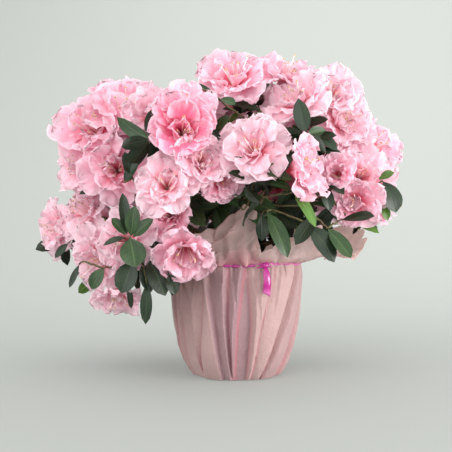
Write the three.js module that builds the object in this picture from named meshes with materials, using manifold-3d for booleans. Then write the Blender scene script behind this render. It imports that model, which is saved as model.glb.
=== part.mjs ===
// A florist's azalea in flower, in a pot that is wrapped in tissue paper and tied with a ribbon.
// Millimetres, +Z up. The origin is the middle of the flat underside, and the front faces -Y.

import * as THREE from "three";
import { mergeVertices } from "three/addons/utils/BufferGeometryUtils.js";
import Module from "manifold-3d";

const wasm = await Module();
wasm.setup();

// Driving dimensions

const GAP = 0.3; // between two pieces that touch
const BOND = 0.35; // how far a cut keeps away from the piece that makes it

const POT = { rimRadius: 62, footRadius: 43, height: 112, wall: 2.4, lipDrop: 9, lipOut: 1.6 };
const SOIL_DEPTH_BELOW_RIM = 8;

const PAPER = {
  thickness: 1.2,
  neckRadius: 66.4,
  neckHeight: 121.5,
  tieHeight: 116,
  pleats: 15,
  pleatDepth: 1.3,
  segments: 60,
  // The outer radius of the wrap at each height, from the foot to the shoulder.
  belly: [
    [46.5, 0],
    [49.5, 3],
    [55, 13],
    [61, 29],
    [65.5, 55],
    [69, 92],
    [70, 106],
  ],
};

const RIBBON = { width: 5, thickness: 0.9, knotAngle: -68, tailWidth: 6.5, tailLength: 26 };

const STEM = { footRadius: 11, radius: 7.5, topRadius: 6, height: 34, lean: [3, -4] };
const BOUGH = { rootRadius: 3.4, tipRadius: 1.9, sides: 6, steps: 5 };

const MASS_HEADS = 12; // rounded heads of blossom and leaf that a mass swells into
const MASS_HOLLOW = 0.78; // how far out the dips between the heads lie, as a share of the radius
const MASS_RUFFLE = 0.05; // how far petals and leaves stand off a head, as a share of the radius
const LARGE_MASS = 60; // a mass with a longer half size than this has finer faces

// The crown: each mass of leaf and blossom by its centre and half sizes, and the bough that
// carries it by the height on the stem where it starts and how high it arches on its way.
const MASSES = [
  { name: "upper_left", centre: [-119, -44, 237], half: [59, 62, 58], root: 0.9, arch: 10 },
  { name: "centre_left", centre: [-50, -84, 224], half: [50, 52, 60], root: 0.75, arch: 8 },
  { name: "top", centre: [17, -22, 293], half: [64, 57, 44], root: 1, arch: 0 },
  { name: "upper_right", centre: [80, -16, 259], half: [47, 60, 54], root: 0.95, arch: 8 },
  { name: "centre", centre: [34, -72, 209], half: [54, 54, 48], root: 0.65, arch: 6 },
  { name: "right", centre: [127, -6, 203], half: [47, 58, 56], root: 0.7, arch: 14 },
  { name: "far_left", centre: [-164, 2, 151], half: [47, 50, 36], root: 0.5, arch: 42 },
  { name: "low_left", centre: [-111, -56, 107], half: [49, 47, 50], root: 0.45, arch: 62 },
  { name: "front_left", centre: [-64, -76, 142], half: [45, 46, 44], root: 0.4, arch: 24 },
  { name: "low_right", centre: [88, -46, 143], half: [34, 38, 26], root: 0.42, arch: 18 },
  { name: "mid_left", centre: [-64, 8, 248], half: [48, 46, 42], root: 0.85, arch: 6 },
  { name: "back_left", centre: [-92, 80, 222], half: [66, 62, 60], root: 0.85, arch: 8 },
  { name: "back_right", centre: [76, 86, 212], half: [66, 60, 60], root: 0.8, arch: 8 },
  { name: "back_top", centre: [-8, 56, 278], half: [62, 56, 42], root: 1, arch: 0 },
  { name: "back_low_left", centre: [-104, 76, 146], half: [52, 50, 44], root: 0.55, arch: 34 },
  { name: "back_low_right", centre: [86, 74, 147], half: [48, 48, 34], root: 0.5, arch: 26 },
  { name: "back_low", centre: [-8, 116, 158], half: [60, 48, 46], root: 0.6, arch: 22 },
  { name: "heart", centre: [-4, 2, 186], half: [60, 58, 44], root: null, arch: 0 },
];

// The sheet is square, so four corners stand up above the tie.
const FLAPS = [
  { name: "front", angle: -86, halfAngle: 32, corner: 54, lean: 8, twist: 0 },
  { name: "right", angle: 4, halfAngle: 42, corner: 76, lean: 68, twist: 22 },
  { name: "back", angle: 92, halfAngle: 42, corner: 52, lean: 30, twist: 0 },
  { name: "left", angle: 180, halfAngle: 42, corner: 34, lean: 50, twist: 0 },
];
const FLAP_EDGE = 11; // how far the middle of the sheet's edge stands above the tie

// Finishes

const FINISH = {
  plastic: new THREE.MeshStandardMaterial({ color: 0x8a4b36, roughness: 0.6, metalness: 0 }),
  soil: new THREE.MeshStandardMaterial({ color: 0x2e221a, roughness: 0.95, metalness: 0 }),
  paper: new THREE.MeshStandardMaterial({ color: 0xe0b0b2, roughness: 0.8, metalness: 0 }),
  ribbon: new THREE.MeshStandardMaterial({ color: 0xb01e6c, roughness: 0.3, metalness: 0 }),
  bark: new THREE.MeshStandardMaterial({ color: 0x6b5236, roughness: 0.85, metalness: 0 }),
  blossom: new THREE.MeshStandardMaterial({ color: 0xf29ab2, roughness: 0.6, metalness: 0 }),
  leaf: new THREE.MeshStandardMaterial({ color: 0x27442a, roughness: 0.45, metalness: 0 }),
};

// Geometry helpers

/** A seeded source of numbers from 0 to 1. */
function randomFrom(seed) {
  let state = seed >>> 0;
  return () => {
    state = (state + 0x6d2b79f5) >>> 0;
    let mixed = Math.imul(state ^ (state >>> 15), 1 | state);
    mixed = (mixed + Math.imul(mixed ^ (mixed >>> 7), 61 | mixed)) ^ mixed;
    return ((mixed ^ (mixed >>> 14)) >>> 0) / 4294967296;
  };
}

/** Moves every vertex of a geometry to where place(vertex) says. */
function remap(geometry, place) {
  const position = geometry.getAttribute("position");
  const vertex = new THREE.Vector3();
  for (let i = 0; i < position.count; i += 1) {
    const moved = place(vertex.fromBufferAttribute(position, i));
    position.setXYZ(i, moved.x, moved.y, moved.z);
  }
  return geometry;
}

/** A closed geometry as a solid that can be cut and joined. */
function solidOf(geometry) {
  const bare = new THREE.BufferGeometry();
  bare.setAttribute("position", geometry.getAttribute("position").clone());
  bare.setIndex(geometry.index);
  const merged = mergeVertices(bare, 1e-3);
  return new wasm.Manifold(
    new wasm.Mesh({
      numProp: 3,
      vertProperties: merged.getAttribute("position").array,
      triVerts: new Uint32Array(merged.index.array),
    }),
  );
}

/** A solid as a geometry with flat faces. */
function geometryOf(solid) {
  const mesh = solid.getMesh();
  const geometry = new THREE.BufferGeometry();
  const places = new Float32Array(mesh.numVert * 3);
  for (let i = 0; i < mesh.numVert; i += 1) {
    const from = i * mesh.numProp;
    places.set(mesh.vertProperties.subarray(from, from + 3), i * 3);
  }
  geometry.setAttribute("position", new THREE.BufferAttribute(places, 3));
  geometry.setIndex(new THREE.BufferAttribute(mesh.triVerts, 1));
  geometry.computeVertexNormals();
  return geometry;
}

/** The largest body of a solid that a cut may have parted. */
function largestBody(solid) {
  const bodies = solid.decompose();
  return bodies.reduce((best, body) => (body.volume() > best.volume() ? body : best));
}

/** A solid of revolution about Z, from [radius, height] pairs that start and end on the axis. */
function turned(profile, segments = 40) {
  const points = profile.map(([radius, height]) => new THREE.Vector2(radius, height));
  return new THREE.LatheGeometry(points, segments).rotateX(Math.PI / 2);
}

/** A ring about Z with a rectangular section. */
function ring(innerRadius, outerRadius, bottom, top) {
  const section = [
    [innerRadius, bottom],
    [outerRadius, bottom],
    [outerRadius, top],
    [innerRadius, top],
    [innerRadius, bottom],
  ];
  return turned(section);
}

/** A point at an angle in degrees, a radius and a height. */
function polar(angle, radius, height) {
  const turn = THREE.MathUtils.degToRad(angle);
  return new THREE.Vector3(radius * Math.cos(turn), radius * Math.sin(turn), height);
}

// The pot and its soil

const potFloor = PAPER.thickness + GAP;
const soilTop = potFloor + POT.height - SOIL_DEPTH_BELOW_RIM;

/** The pot's outer radius at a height above its own foot. */
function potRadiusAt(height) {
  return THREE.MathUtils.lerp(POT.footRadius, POT.rimRadius, height / POT.height);
}

/** The radius inside the pot's wall at a height above its own foot. */
function potHollowAt(height) {
  const share = (height - POT.wall) / (POT.height - POT.wall);
  return THREE.MathUtils.lerp(POT.footRadius, POT.rimRadius, share) - POT.wall;
}

function makePot() {
  const rim = potFloor + POT.height;
  const lipFoot = rim - POT.lipDrop;
  return turned([
    [0, potFloor],
    [POT.footRadius, potFloor],
    [potRadiusAt(POT.height - POT.lipDrop), lipFoot],
    [POT.rimRadius + POT.lipOut, lipFoot],
    [POT.rimRadius + POT.lipOut, rim],
    [POT.rimRadius - POT.wall, rim],
    [POT.footRadius - POT.wall, potFloor + POT.wall],
    [0, potFloor + POT.wall],
  ]);
}

function makeSoil() {
  const floor = potFloor + POT.wall + GAP;
  return turned([
    [0, floor],
    [potHollowAt(floor - potFloor) - GAP, floor],
    [potHollowAt(soilTop - potFloor) - GAP, soilTop],
    [0, soilTop],
  ]);
}

// The paper

/** The pleated outline of the wrap: how far a point stands in or out at an angle and height. */
function pleatAt(angle, height) {
  const rise = THREE.MathUtils.smoothstep(height, 3, 30);
  const fall = 1 - THREE.MathUtils.smoothstep(height, 96, PAPER.tieHeight - 4);
  const slant = height * 0.006;
  return PAPER.pleatDepth * rise * fall * Math.sin((angle + slant) * PAPER.pleats);
}

/** The wrap, or with grow the space that other pieces leave free round it. */
function makeWrap(grow = 0) {
  const tie = [PAPER.neckRadius + 0.4, PAPER.tieHeight - 3];
  const outside = [...PAPER.belly, tie, [PAPER.neckRadius, PAPER.neckHeight]];
  const outer = outside.map(([radius, height]) => [
    radius + grow,
    height + (height > PAPER.tieHeight ? grow : 0),
  ]);
  const inner = outside
    .slice(2)
    .reverse()
    .map(([radius, height]) => [radius - PAPER.thickness - 0.1 - grow, height + grow]);
  inner[0][1] = outer[outer.length - 1][1];
  const floor = PAPER.thickness;
  const footInside = PAPER.belly[1][0] - PAPER.thickness - 1 - grow;
  const profile = [[0, 0], ...outer, ...inner, [footInside, floor + 1.2], [footInside - 1, floor], [0, floor]];
  return remap(turned(profile, PAPER.segments), (vertex) => {
    const radius = Math.hypot(vertex.x, vertex.y);
    const share = radius < 1 ? 1 : (radius + pleatAt(Math.atan2(vertex.y, vertex.x), vertex.z)) / radius;
    return vertex.multiply(new THREE.Vector3(share, share, 1));
  });
}

/** One corner of the sheet, standing up above the tie. With grow it is that much thicker. */
function makeFlap({ angle, halfAngle, corner, lean, twist }, grow = 0) {
  const foot = PAPER.neckHeight + GAP;
  const middle = PAPER.neckRadius - PAPER.thickness / 2;
  return remap(new THREE.BoxGeometry(2, 1, 1, 10, 3, 1), (vertex) => {
    const across = vertex.x * (1 + grow / 40);
    const up = vertex.y + 0.5;
    const fullness = Math.max(1 - Math.abs(across), 0) ** 1.15;
    const reach = (FLAP_EDGE + (corner - FLAP_EDGE) * fullness) * up + (up - 0.5) * 2 * grow;
    const bend = THREE.MathUtils.degToRad(lean - twist * across) * (0.6 + 0.4 * up);
    const off = vertex.z * (PAPER.thickness + 2 * grow);
    const radius = middle + reach * Math.sin(bend) + off * Math.cos(bend);
    const height = foot + reach * Math.cos(bend) - off * Math.sin(bend) * up;
    return polar(angle + across * halfAngle, radius, height);
  });
}

// The ribbon

const bandInner = PAPER.neckRadius + GAP + 0.4;

function makeBand(grow = 0) {
  const foot = PAPER.tieHeight - RIBBON.width / 2 + 0.4;
  const outer = bandInner + RIBBON.thickness;
  return ring(bandInner - grow, outer + grow, foot - grow, foot + RIBBON.width - 1 + grow);
}

function makeKnot(grow = 0) {
  const depth = 2.6;
  const middle = polar(RIBBON.knotAngle, bandInner + RIBBON.thickness + GAP + depth, PAPER.tieHeight);
  return new THREE.SphereGeometry(1, 10, 6)
    .scale(depth + grow, 5 + grow, 3.8 + grow)
    .rotateZ(THREE.MathUtils.degToRad(RIBBON.knotAngle))
    .translate(middle.x, middle.y, middle.z);
}

/** A flat tail of ribbon that hangs from under the knot and lies against the wrap. */
function makeTail(grow = 0) {
  const top = PAPER.tieHeight - 3.8 - GAP;
  const radius = PAPER.belly.at(-1)[0] + PAPER.pleatDepth + GAP + 1.2;
  return remap(new THREE.BoxGeometry(1, 1, 1, 2, 6, 1), (vertex) => {
    const drop = 0.5 - vertex.y;
    const spread = (vertex.x * (RIBBON.tailWidth + 2 * grow)) / radius;
    const turn = RIBBON.knotAngle + THREE.MathUtils.radToDeg(spread);
    const off = vertex.z * (RIBBON.thickness + 2 * grow) + Math.sin(drop * Math.PI) * 0.6;
    return polar(turn, radius + off, top - drop * (RIBBON.tailLength + 2 * grow) + grow);
  });
}

// The wood

/** A tapering limb with closed ends along a curve. With grow it is that much fatter and longer. */
function limb(curve, radiusAt, grow = 0) {
  const frames = curve.computeFrenetFrames(BOUGH.steps);
  const geometry = new THREE.CylinderGeometry(1, 1, 1, BOUGH.sides, BOUGH.steps);
  return remap(geometry, (vertex) => {
    const share = vertex.y + 0.5;
    const step = Math.round(share * BOUGH.steps);
    const radius = radiusAt(share) + grow;
    const beyond = step === 0 ? -grow : step === BOUGH.steps ? grow : 0;
    return curve
      .getPoint(share)
      .addScaledVector(frames.tangents[step], beyond)
      .addScaledVector(frames.normals[step], vertex.z * radius)
      .addScaledVector(frames.binormals[step], vertex.x * radius);
  });
}

const stemCurve = new THREE.QuadraticBezierCurve3(
  new THREE.Vector3(0, 0, soilTop + GAP),
  new THREE.Vector3(0, 0, soilTop + STEM.height * 0.5),
  new THREE.Vector3(STEM.lean[0], STEM.lean[1], soilTop + STEM.height),
);

/** The stem's radius: it flares at the foot and narrows to the fork. */
function stemRadiusAt(share) {
  const flare = (STEM.footRadius - STEM.radius) * Math.exp(-share * 7);
  return THREE.MathUtils.lerp(STEM.radius, STEM.topRadius, share) + flare;
}

/** The line of the bough that carries a mass, from the stem's heart to the mass's centre. */
function boughCurve({ centre, root, arch }) {
  const start = stemCurve.getPoint(root);
  const end = new THREE.Vector3(...centre);
  const bend = start.clone().lerp(end, 0.5);
  bend.z += arch;
  return new THREE.QuadraticBezierCurve3(start, bend, end);
}

function boughRadiusAt(share) {
  return THREE.MathUtils.lerp(BOUGH.rootRadius, BOUGH.tipRadius, share);
}

// The crown

/** Directions of a mass's heads, spread evenly over a ball and then shaken. */
function headsOf(seed) {
  const random = randomFrom(seed);
  const golden = Math.PI * (3 - Math.sqrt(5));
  return Array.from({ length: MASS_HEADS }, (_, i) => {
    const height = 1 - (2 * i + 1) / MASS_HEADS + (random() - 0.5) * 0.2;
    const round = Math.sqrt(Math.max(1 - height * height, 0));
    const turn = i * golden + random() * 0.8 + seed;
    return new THREE.Vector3(round * Math.cos(turn), round * Math.sin(turn), height).normalize();
  });
}

/** A mass of leaf and blossom: a ball swollen into rounded heads. */
function makeMass({ centre, half }, seed, grow = 0) {
  const heads = headsOf(seed);
  const middle = new THREE.Vector3(...centre);
  const detail = Math.max(...half) > LARGE_MASS ? 3 : 2;
  return remap(new THREE.IcosahedronGeometry(1, detail), (vertex) => {
    const direction = vertex.clone().normalize();
    const nearest = Math.max(...heads.map((head) => head.dot(direction)));
    const swell = MASS_HOLLOW + (1 - MASS_HOLLOW) * THREE.MathUtils.smoothstep(nearest, 0.6, 0.96);
    const { x, y, z } = direction;
    const ruffle = MASS_RUFFLE * Math.sin(9 * x + seed) * Math.cos(8 * y - seed) * Math.cos(7 * z);
    const reach = new THREE.Vector3(...half).multiplyScalar(swell + ruffle).addScalar(grow);
    return direction.multiply(reach).add(middle);
  });
}

// Assembly

const plant = new THREE.Group();

function addPiece(name, geometry, finish) {
  const mesh = new THREE.Mesh(geometry, finish);
  mesh.name = name;
  plant.add(mesh);
}

addPiece("pot", makePot(), FINISH.plastic);
addPiece("potting_soil", makeSoil(), FINISH.soil);
addPiece("paper_wrap", makeWrap(), FINISH.paper);
for (const flap of FLAPS) addPiece(`paper_flap_${flap.name}`, makeFlap(flap), FINISH.paper);
addPiece("ribbon_band", makeBand(), FINISH.ribbon);
addPiece("ribbon_knot", makeKnot(), FINISH.ribbon);
addPiece("ribbon_tail", makeTail(), FINISH.ribbon);
addPiece("stem", limb(stemCurve, stemRadiusAt), FINISH.bark);

const made = [
  solidOf(makeWrap(BOND)),
  ...FLAPS.map((flap) => solidOf(makeFlap(flap, BOND))),
  solidOf(makeBand(BOND)),
  solidOf(makeKnot(BOND)),
  solidOf(makeTail(BOND)),
];
const paperAndRibbon = wasm.Manifold.union(made);

let woodRoom = solidOf(limb(stemCurve, stemRadiusAt, BOND));
MASSES.forEach((mass, seed) => {
  if (mass.root === null) return;
  const curve = boughCurve(mass);
  const own = solidOf(makeMass(mass, seed, BOND));
  const whole = solidOf(limb(curve, boughRadiusAt));
  addPiece(`bough_${mass.name}`, geometryOf(largestBody(whole.subtract(own).subtract(woodRoom))), FINISH.bark);
  woodRoom = woodRoom.add(solidOf(limb(curve, boughRadiusAt, BOND)).subtract(own));
});

let taken = paperAndRibbon.add(woodRoom);
MASSES.forEach((mass, seed) => {
  const whole = solidOf(makeMass(mass, seed));
  const finish = mass.name === "heart" || mass.name === "low_right" ? FINISH.leaf : FINISH.blossom;
  addPiece(`mass_${mass.name}`, geometryOf(largestBody(whole.subtract(taken))), finish);
  taken = taken.add(solidOf(makeMass(mass, seed, BOND)));
});

export default plant;
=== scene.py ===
"""A potted azalea in flower: the visual model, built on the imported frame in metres.

The wood, leaves and blossom grow on the crown's masses by seeded rules. The paper wrap, its four
standing corners, the ribbon, the pot and its soil are modelled round the pot's axis.
"""

import logging
import math
from collections.abc import Iterator
from contextlib import contextmanager
from dataclasses import dataclass, field
from enum import Enum
from functools import cache

import bmesh
import bpy
import numpy as np
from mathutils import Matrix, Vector, noise


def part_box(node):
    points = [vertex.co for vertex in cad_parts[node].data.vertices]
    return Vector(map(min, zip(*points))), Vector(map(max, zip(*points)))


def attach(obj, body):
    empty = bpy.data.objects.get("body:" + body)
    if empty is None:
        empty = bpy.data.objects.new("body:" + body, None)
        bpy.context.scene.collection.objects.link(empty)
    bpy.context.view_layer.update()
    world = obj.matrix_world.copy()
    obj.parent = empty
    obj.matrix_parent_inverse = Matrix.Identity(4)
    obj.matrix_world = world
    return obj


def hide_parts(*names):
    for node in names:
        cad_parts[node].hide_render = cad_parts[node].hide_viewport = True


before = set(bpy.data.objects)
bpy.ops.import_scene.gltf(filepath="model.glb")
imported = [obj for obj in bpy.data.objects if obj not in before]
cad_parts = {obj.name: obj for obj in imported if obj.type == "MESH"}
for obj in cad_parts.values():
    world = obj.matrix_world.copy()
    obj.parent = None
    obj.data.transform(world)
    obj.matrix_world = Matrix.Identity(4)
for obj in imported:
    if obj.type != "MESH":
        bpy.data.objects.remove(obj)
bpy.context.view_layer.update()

Array = np.ndarray
Random = np.random.Generator
Triple = tuple[float, float, float]
Colour = tuple[float, float, float]
Piece = bpy.types.Object
Material = bpy.types.Material
Socket = bpy.types.NodeSocket
Spot = tuple[Array, Array, float]  # the turn, the place and the scale that a patch is given

log = logging.getLogger("azalea")

BODY = "root"
SEED = 20
UP = np.array([0.0, 0.0, 1.0])
CHART_MAP = "OFBake"
CHART_TILES = (4, 4)  # leaves and petals are laid out on a sheet of so many tiles
CHART_MARGIN = 0.04  # the share of a tile that stays free at each of its sides
PETAL_TILES, LEAF_TILES = 4, 5  # how many tiles each tone of petal and each green of leaf has
FILAMENT_TILE, ANTHER_TILE, CALYX_TILE = 12, 13, 14
FILAMENT, ANTHER, CALYX = 3, 4, 5  # a blossom's slots after its three tones


# Numbers and directions


def smoothstep(value: Array | float, low: float, high: float) -> Array | float:
    """Rises smoothly from 0 at low to 1 at high."""
    share = np.clip((value - low) / (high - low), 0.0, 1.0)
    return share * share * (3 - 2 * share)


def mix(low: Array | float, high: Array | float, share: Array | float) -> Array | float:
    """The value a share of the way from low to high."""
    return low + (high - low) * share


def unit(vector: Array) -> Array:
    """The vector at length 1."""
    return vector / max(float(np.linalg.norm(vector)), 1e-9)


def frame_along(direction: Array, roll: float = 0.0) -> Array:
    """A turn that points +Z along a direction.

    Args:
        direction: where +Z goes.
        roll: the turn about that direction, in radians.

    Returns:
        A 3 by 3 matrix whose columns are the turned X, Y and Z.
    """
    ahead = unit(direction)
    helper = UP if abs(ahead[2]) < 0.95 else np.array([0.0, 1.0, 0.0])
    side = unit(np.cross(helper, ahead))
    up = np.cross(ahead, side)
    turned = side * math.cos(roll) + up * math.sin(roll)
    return np.stack([turned, np.cross(ahead, turned), ahead], axis=1)


def unit_rows(vectors: Array) -> Array:
    """Each row of an array at length 1."""
    return vectors / np.maximum(np.linalg.norm(vectors, axis=1, keepdims=True), 1e-9)


def walk(leans: Array, step: float) -> tuple[Array, Array]:
    """How far a chain of equal steps gets aside and ahead, each step at its own lean."""
    aside = np.concatenate([[0.0], np.cumsum(np.sin(leans[1:]) * step)])
    ahead = np.concatenate([[0.0], np.cumsum(np.cos(leans[1:]) * step)])
    return aside, ahead


@cache
def box_of(node: str) -> tuple[Array, Array]:
    """The lowest corner and the lengths of a CAD node's box."""
    low, high = (np.array(corner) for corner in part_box(node))
    return low, high - low


@cache
def node_points(name: str) -> Array:
    """The vertices of a CAD node as an array."""
    return mesh_arrays(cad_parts[name])[0]


# Patches and the pieces that they are joined into


@dataclass
class Patch:
    """A small surface of four-sided faces, and where each of its points lies on the chart."""

    points: Array
    faces: Array
    chart: Array

    def placed(self, turn: Array, at: Array, scale: float = 1.0) -> "Patch":
        """The patch turned, scaled and moved."""
        return Patch((self.points * scale) @ turn.T + at, self.faces, self.chart)

    def on_tile(self, tile: int) -> "Patch":
        """The patch with its chart, which covers one unit square, moved on to one tile.

        Each finish of a piece keeps to tiles of its own, so that the finishes can share one chart.

        Args:
            tile: the tile's number, counted row by row.

        Returns:
            The charted patch.
        """
        columns, rows = CHART_TILES
        corner = np.array([tile % columns, (tile // columns) % rows])
        inset = CHART_MARGIN + (1 - 2 * CHART_MARGIN) * np.clip(self.chart, 0.0, 1.0)
        return Patch(self.points, self.faces, (corner + inset) / np.array([columns, rows]))


def grid_faces(rows: int, columns: int) -> Array:
    """The faces of a sheet of rows by columns of faces, its points counted row by row."""
    across = np.arange(columns)
    starts = (np.arange(rows)[:, None] * (columns + 1) + across[None, :]).ravel()
    return np.stack([starts, starts + 1, starts + columns + 2, starts + columns + 1], axis=1)


def sheet(points: Array, across: Array, along: Array) -> Patch:
    """A sheet from rows of points, charted by how far across and along each of them is."""
    chart = np.stack(np.broadcast_arrays(across[None, :], along[:, None]), axis=-1)
    return Patch(points.reshape(-1, 3), grid_faces(len(along) - 1, len(across) - 1), chart.reshape(-1, 2))


def tube(path: Array, radii: Array, sides: int = 5) -> Patch:
    """A tube of round section along a path, open at its ends unless a radius there is near 0.

    Args:
        path: the points of its middle line.
        radii: the radius at each of them.
        sides: the number of sides of the section.

    Returns:
        The patch, charted round and along.
    """
    steps = np.gradient(path, axis=0)
    turn = frame_along(steps[0])
    normal = turn[:, 0]
    turns = np.linspace(0.0, 2 * math.pi, sides + 1)
    rings = []
    for middle, step, radius in zip(path, steps, radii):
        ahead = unit(step)
        normal = unit(normal - ahead * float(normal @ ahead))
        other = np.cross(ahead, normal)
        ring = np.cos(turns)[:, None] * normal + np.sin(turns)[:, None] * other
        rings.append(middle + ring * radius)
    return sheet(np.concatenate(rings), turns / (2 * math.pi), np.linspace(0.0, 1.0, len(path)))


def clear_of_pot(points: Array, gap: float = 0.0015, lift: float = 0.001, rim: float = 0.7) -> Array:
    """Moves points out of the wrapped pot.

    Args:
        points: the points, which may lie anywhere.
        gap: how far outside the paper those near its side end up.
        lift: how far above it those near its middle end up.
        rim: the share of the radius from which on they go to the side.

    Returns:
        The points, with those inside the pot moved.
    """
    size = box_of("paper_wrap")[1]
    wide, top = float(size[0]) / 2 + gap, float(size[2]) + lift
    radius = np.hypot(points[:, 0], points[:, 1])
    inside = (radius < wide) & (points[:, 2] < top)
    side = inside & (radius > rim * wide)
    moved = points.copy()
    moved[side, :2] *= (wide / radius[side])[:, None]
    moved[inside & ~side, 2] = top
    return moved


def add_object(name: str, data: bpy.types.ID) -> Piece:
    """A new object in the scene with its data."""
    made = bpy.data.objects.new(name, data)
    bpy.context.scene.collection.objects.link(made)
    return made


@dataclass
class Gathering:
    """Loose patches of one kind, gathered until they are joined into one piece.

    Its materials are the piece's slots, in order. What is growing is kept clear of the pot.
    """

    name: str
    materials: list[Material]
    growing: bool = False
    patches: list[Patch] = field(default_factory=list)
    slots: list[int] = field(default_factory=list)

    def add(self, patch: Patch, slot: int = 0) -> None:
        """Adds a patch, in the slot of its material."""
        self.patches.append(patch)
        self.slots.append(slot)

    def build(self) -> Piece:
        """Joins what was gathered into one smooth mesh object.

        Returns:
            The piece.
        """
        points = np.concatenate([patch.points for patch in self.patches])
        starts = np.cumsum([0] + [len(patch.points) for patch in self.patches[:-1]])
        faces = np.concatenate([patch.faces + start for patch, start in zip(self.patches, starts)])
        chart = np.concatenate([patch.chart[patch.faces].reshape(-1, 2) for patch in self.patches])
        slots = np.repeat(self.slots, [len(patch.faces) for patch in self.patches])
        if self.growing:
            points = clear_of_pot(points)
        mesh = bpy.data.meshes.new(self.name)
        mesh.vertices.add(len(points))
        mesh.vertices.foreach_set("co", points.ravel())
        mesh.loops.add(faces.size)
        mesh.loops.foreach_set("vertex_index", faces.ravel())
        mesh.polygons.add(len(faces))
        mesh.polygons.foreach_set("loop_start", np.arange(len(faces)) * 4)
        mesh.polygons.foreach_set("material_index", slots)
        mesh.polygons.foreach_set("use_smooth", np.ones(len(faces), dtype=bool))
        layer = mesh.uv_layers.new(name=CHART_MAP)
        layer.data.foreach_set("uv", chart.ravel())
        for material in self.materials:
            mesh.materials.append(material)
        mesh.update(calc_edges=True)
        mesh.validate()
        return add_object(self.name, mesh)


def add_attributes(piece: Piece, **numbers: Array) -> None:
    """Stores named numbers on a piece's vertices, for its finish to read."""
    for name, values in numbers.items():
        piece.data.attributes.new(name, "FLOAT", "POINT").data.foreach_set("value", values)


def report(piece: Piece, slot: str, *nodes: str) -> None:
    """Puts a finished piece on the plant's body, hides the CAD nodes that it stands for and logs it.

    Args:
        piece: the finished mesh object.
        slot: the record's material slot; not used.
        nodes: the CAD nodes that the piece stands for.
    """
    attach(piece, BODY)
    if nodes:
        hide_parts(*nodes)
    log.info("%s: %d faces, for %s", piece.name, len(piece.data.polygons), ", ".join(nodes) or "itself")


# Materials


@dataclass
class Brush:
    """Lays out the nodes of one material or node group."""

    tree: bpy.types.NodeTree

    @property
    def shader(self) -> bpy.types.Node:
        """The material's Principled BSDF."""
        return self.tree.nodes["Principled BSDF"]

    def node(
        self, kind: str, feeds: dict[str | int, object] | None = None, **settings: object
    ) -> bpy.types.Node:
        """Adds a node.

        Args:
            kind: its type.
            feeds: what goes into its inputs, by their names or numbers.
            settings: its settings.

        Returns:
            The node.
        """
        made = self.tree.nodes.new(kind)
        for key, value in settings.items():
            setattr(made, key, value)
        for key, value in (feeds or {}).items():
            self.feed(made.inputs[key], value)
        return made

    def feed(self, socket: Socket, value: object) -> None:
        """Links a socket to another one, or sets it to a plain value."""
        if isinstance(value, Socket):
            self.tree.links.new(value, socket)
        else:
            socket.default_value = value

    def math(self, operation: str, *values: object, clamp: bool = False) -> Socket:
        """A Math node on up to three values."""
        made = self.node("ShaderNodeMath", dict(enumerate(values)), operation=operation, use_clamp=clamp)
        return made.outputs[0]

    def times(self, value: object, other: object) -> Socket:
        """The product of two values."""
        return self.math("MULTIPLY", value, other)

    def blend(self, share: object, low: object, high: object) -> Socket:
        """A Mix node on two colours."""
        feeds = {"Factor": share, 6: opaque(low), 7: opaque(high)}
        return self.node("ShaderNodeMix", feeds, data_type="RGBA").outputs[2]

    def between(self, value: object, low: float, high: float) -> Socket:
        """A smooth rise from 0 at low to 1 at high."""
        feeds = {"Value": value, "From Min": low, "From Max": high}
        return self.node("ShaderNodeMapRange", feeds, interpolation_type="SMOOTHSTEP").outputs["Result"]

    def noise(self, place: object, scale: float, detail: float = 3.0, rough: float = 0.5) -> Socket:
        """A Noise Texture's value at a place."""
        feeds = {"Vector": place, "Scale": scale, "Detail": detail, "Roughness": rough}
        return self.node("ShaderNodeTexNoise", feeds).outputs["Fac"]

    def stretched(self, place: object, scale: Triple) -> Socket:
        """A place with each direction scaled."""
        return self.node("ShaderNodeMapping", {"Vector": place, "Scale": scale}).outputs["Vector"]

    def bump(self, height: object, strength: float, distance: float) -> Socket:
        """A Bump node's normal."""
        feeds = {"Height": height, "Strength": strength, "Distance": distance}
        return self.node("ShaderNodeBump", feeds).outputs["Normal"]

    def place(self) -> Socket:
        """The place of a point in its piece's own coordinates."""
        return self.node("ShaderNodeTexCoord").outputs["Object"]

    def chart(self) -> bpy.types.bpy_prop_collection:
        """What the chart group says of a point on its own petal or leaf."""
        return self.node("ShaderNodeGroup", node_tree=chart_group()).outputs

    def attribute(self, name: str) -> Socket:
        """A number that the mesh carries under a name."""
        return self.node("ShaderNodeAttribute", attribute_name=name).outputs["Fac"]

    def paint(self, colour: object, normal: object = None, rough: object = None) -> None:
        """Feeds the material's shader.

        Args:
            colour: its base colour.
            normal: its normal, or none.
            rough: its roughness, or none to leave the plain value.
        """
        for name, value in (("Base Color", colour), ("Normal", normal), ("Roughness", rough)):
            if value is not None:
                self.feed(self.shader.inputs[name], value)

    def let_light_through(self, colour: object, share: float) -> None:
        """Mixes a thin sheet's translucency into the material.

        Args:
            colour: the colour of light that comes through.
            share: how much of the light passes.
        """
        glow = self.node("ShaderNodeBsdfTranslucent", {"Color": opaque(colour)}).outputs["BSDF"]
        both = self.node("ShaderNodeMixShader", {"Fac": share, 1: self.shader.outputs["BSDF"], 2: glow})
        self.feed(self.tree.nodes["Material Output"].inputs["Surface"], both.outputs["Shader"])


def opaque(value: object) -> object:
    """A plain colour with its alpha, or a socket as it is."""
    return (*value, 1.0) if isinstance(value, tuple) and len(value) == 3 else value


def new_material(name: str, roughness: float, **sockets: float) -> tuple[Material, Brush]:
    """A material whose plain values are set on the shader's own sockets.

    Args:
        name: the material's name.
        roughness: the shader's roughness.
        sockets: other plain values, the socket's name with underscores for its spaces.

    Returns:
        The material and a brush for its nodes.
    """
    material = bpy.data.materials.new(name)
    material.use_nodes = True
    brush = Brush(material.node_tree)
    for key, value in {"Roughness": roughness, **sockets}.items():
        brush.shader.inputs[key.replace("_", " ")].default_value = value
    return material, brush


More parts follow.
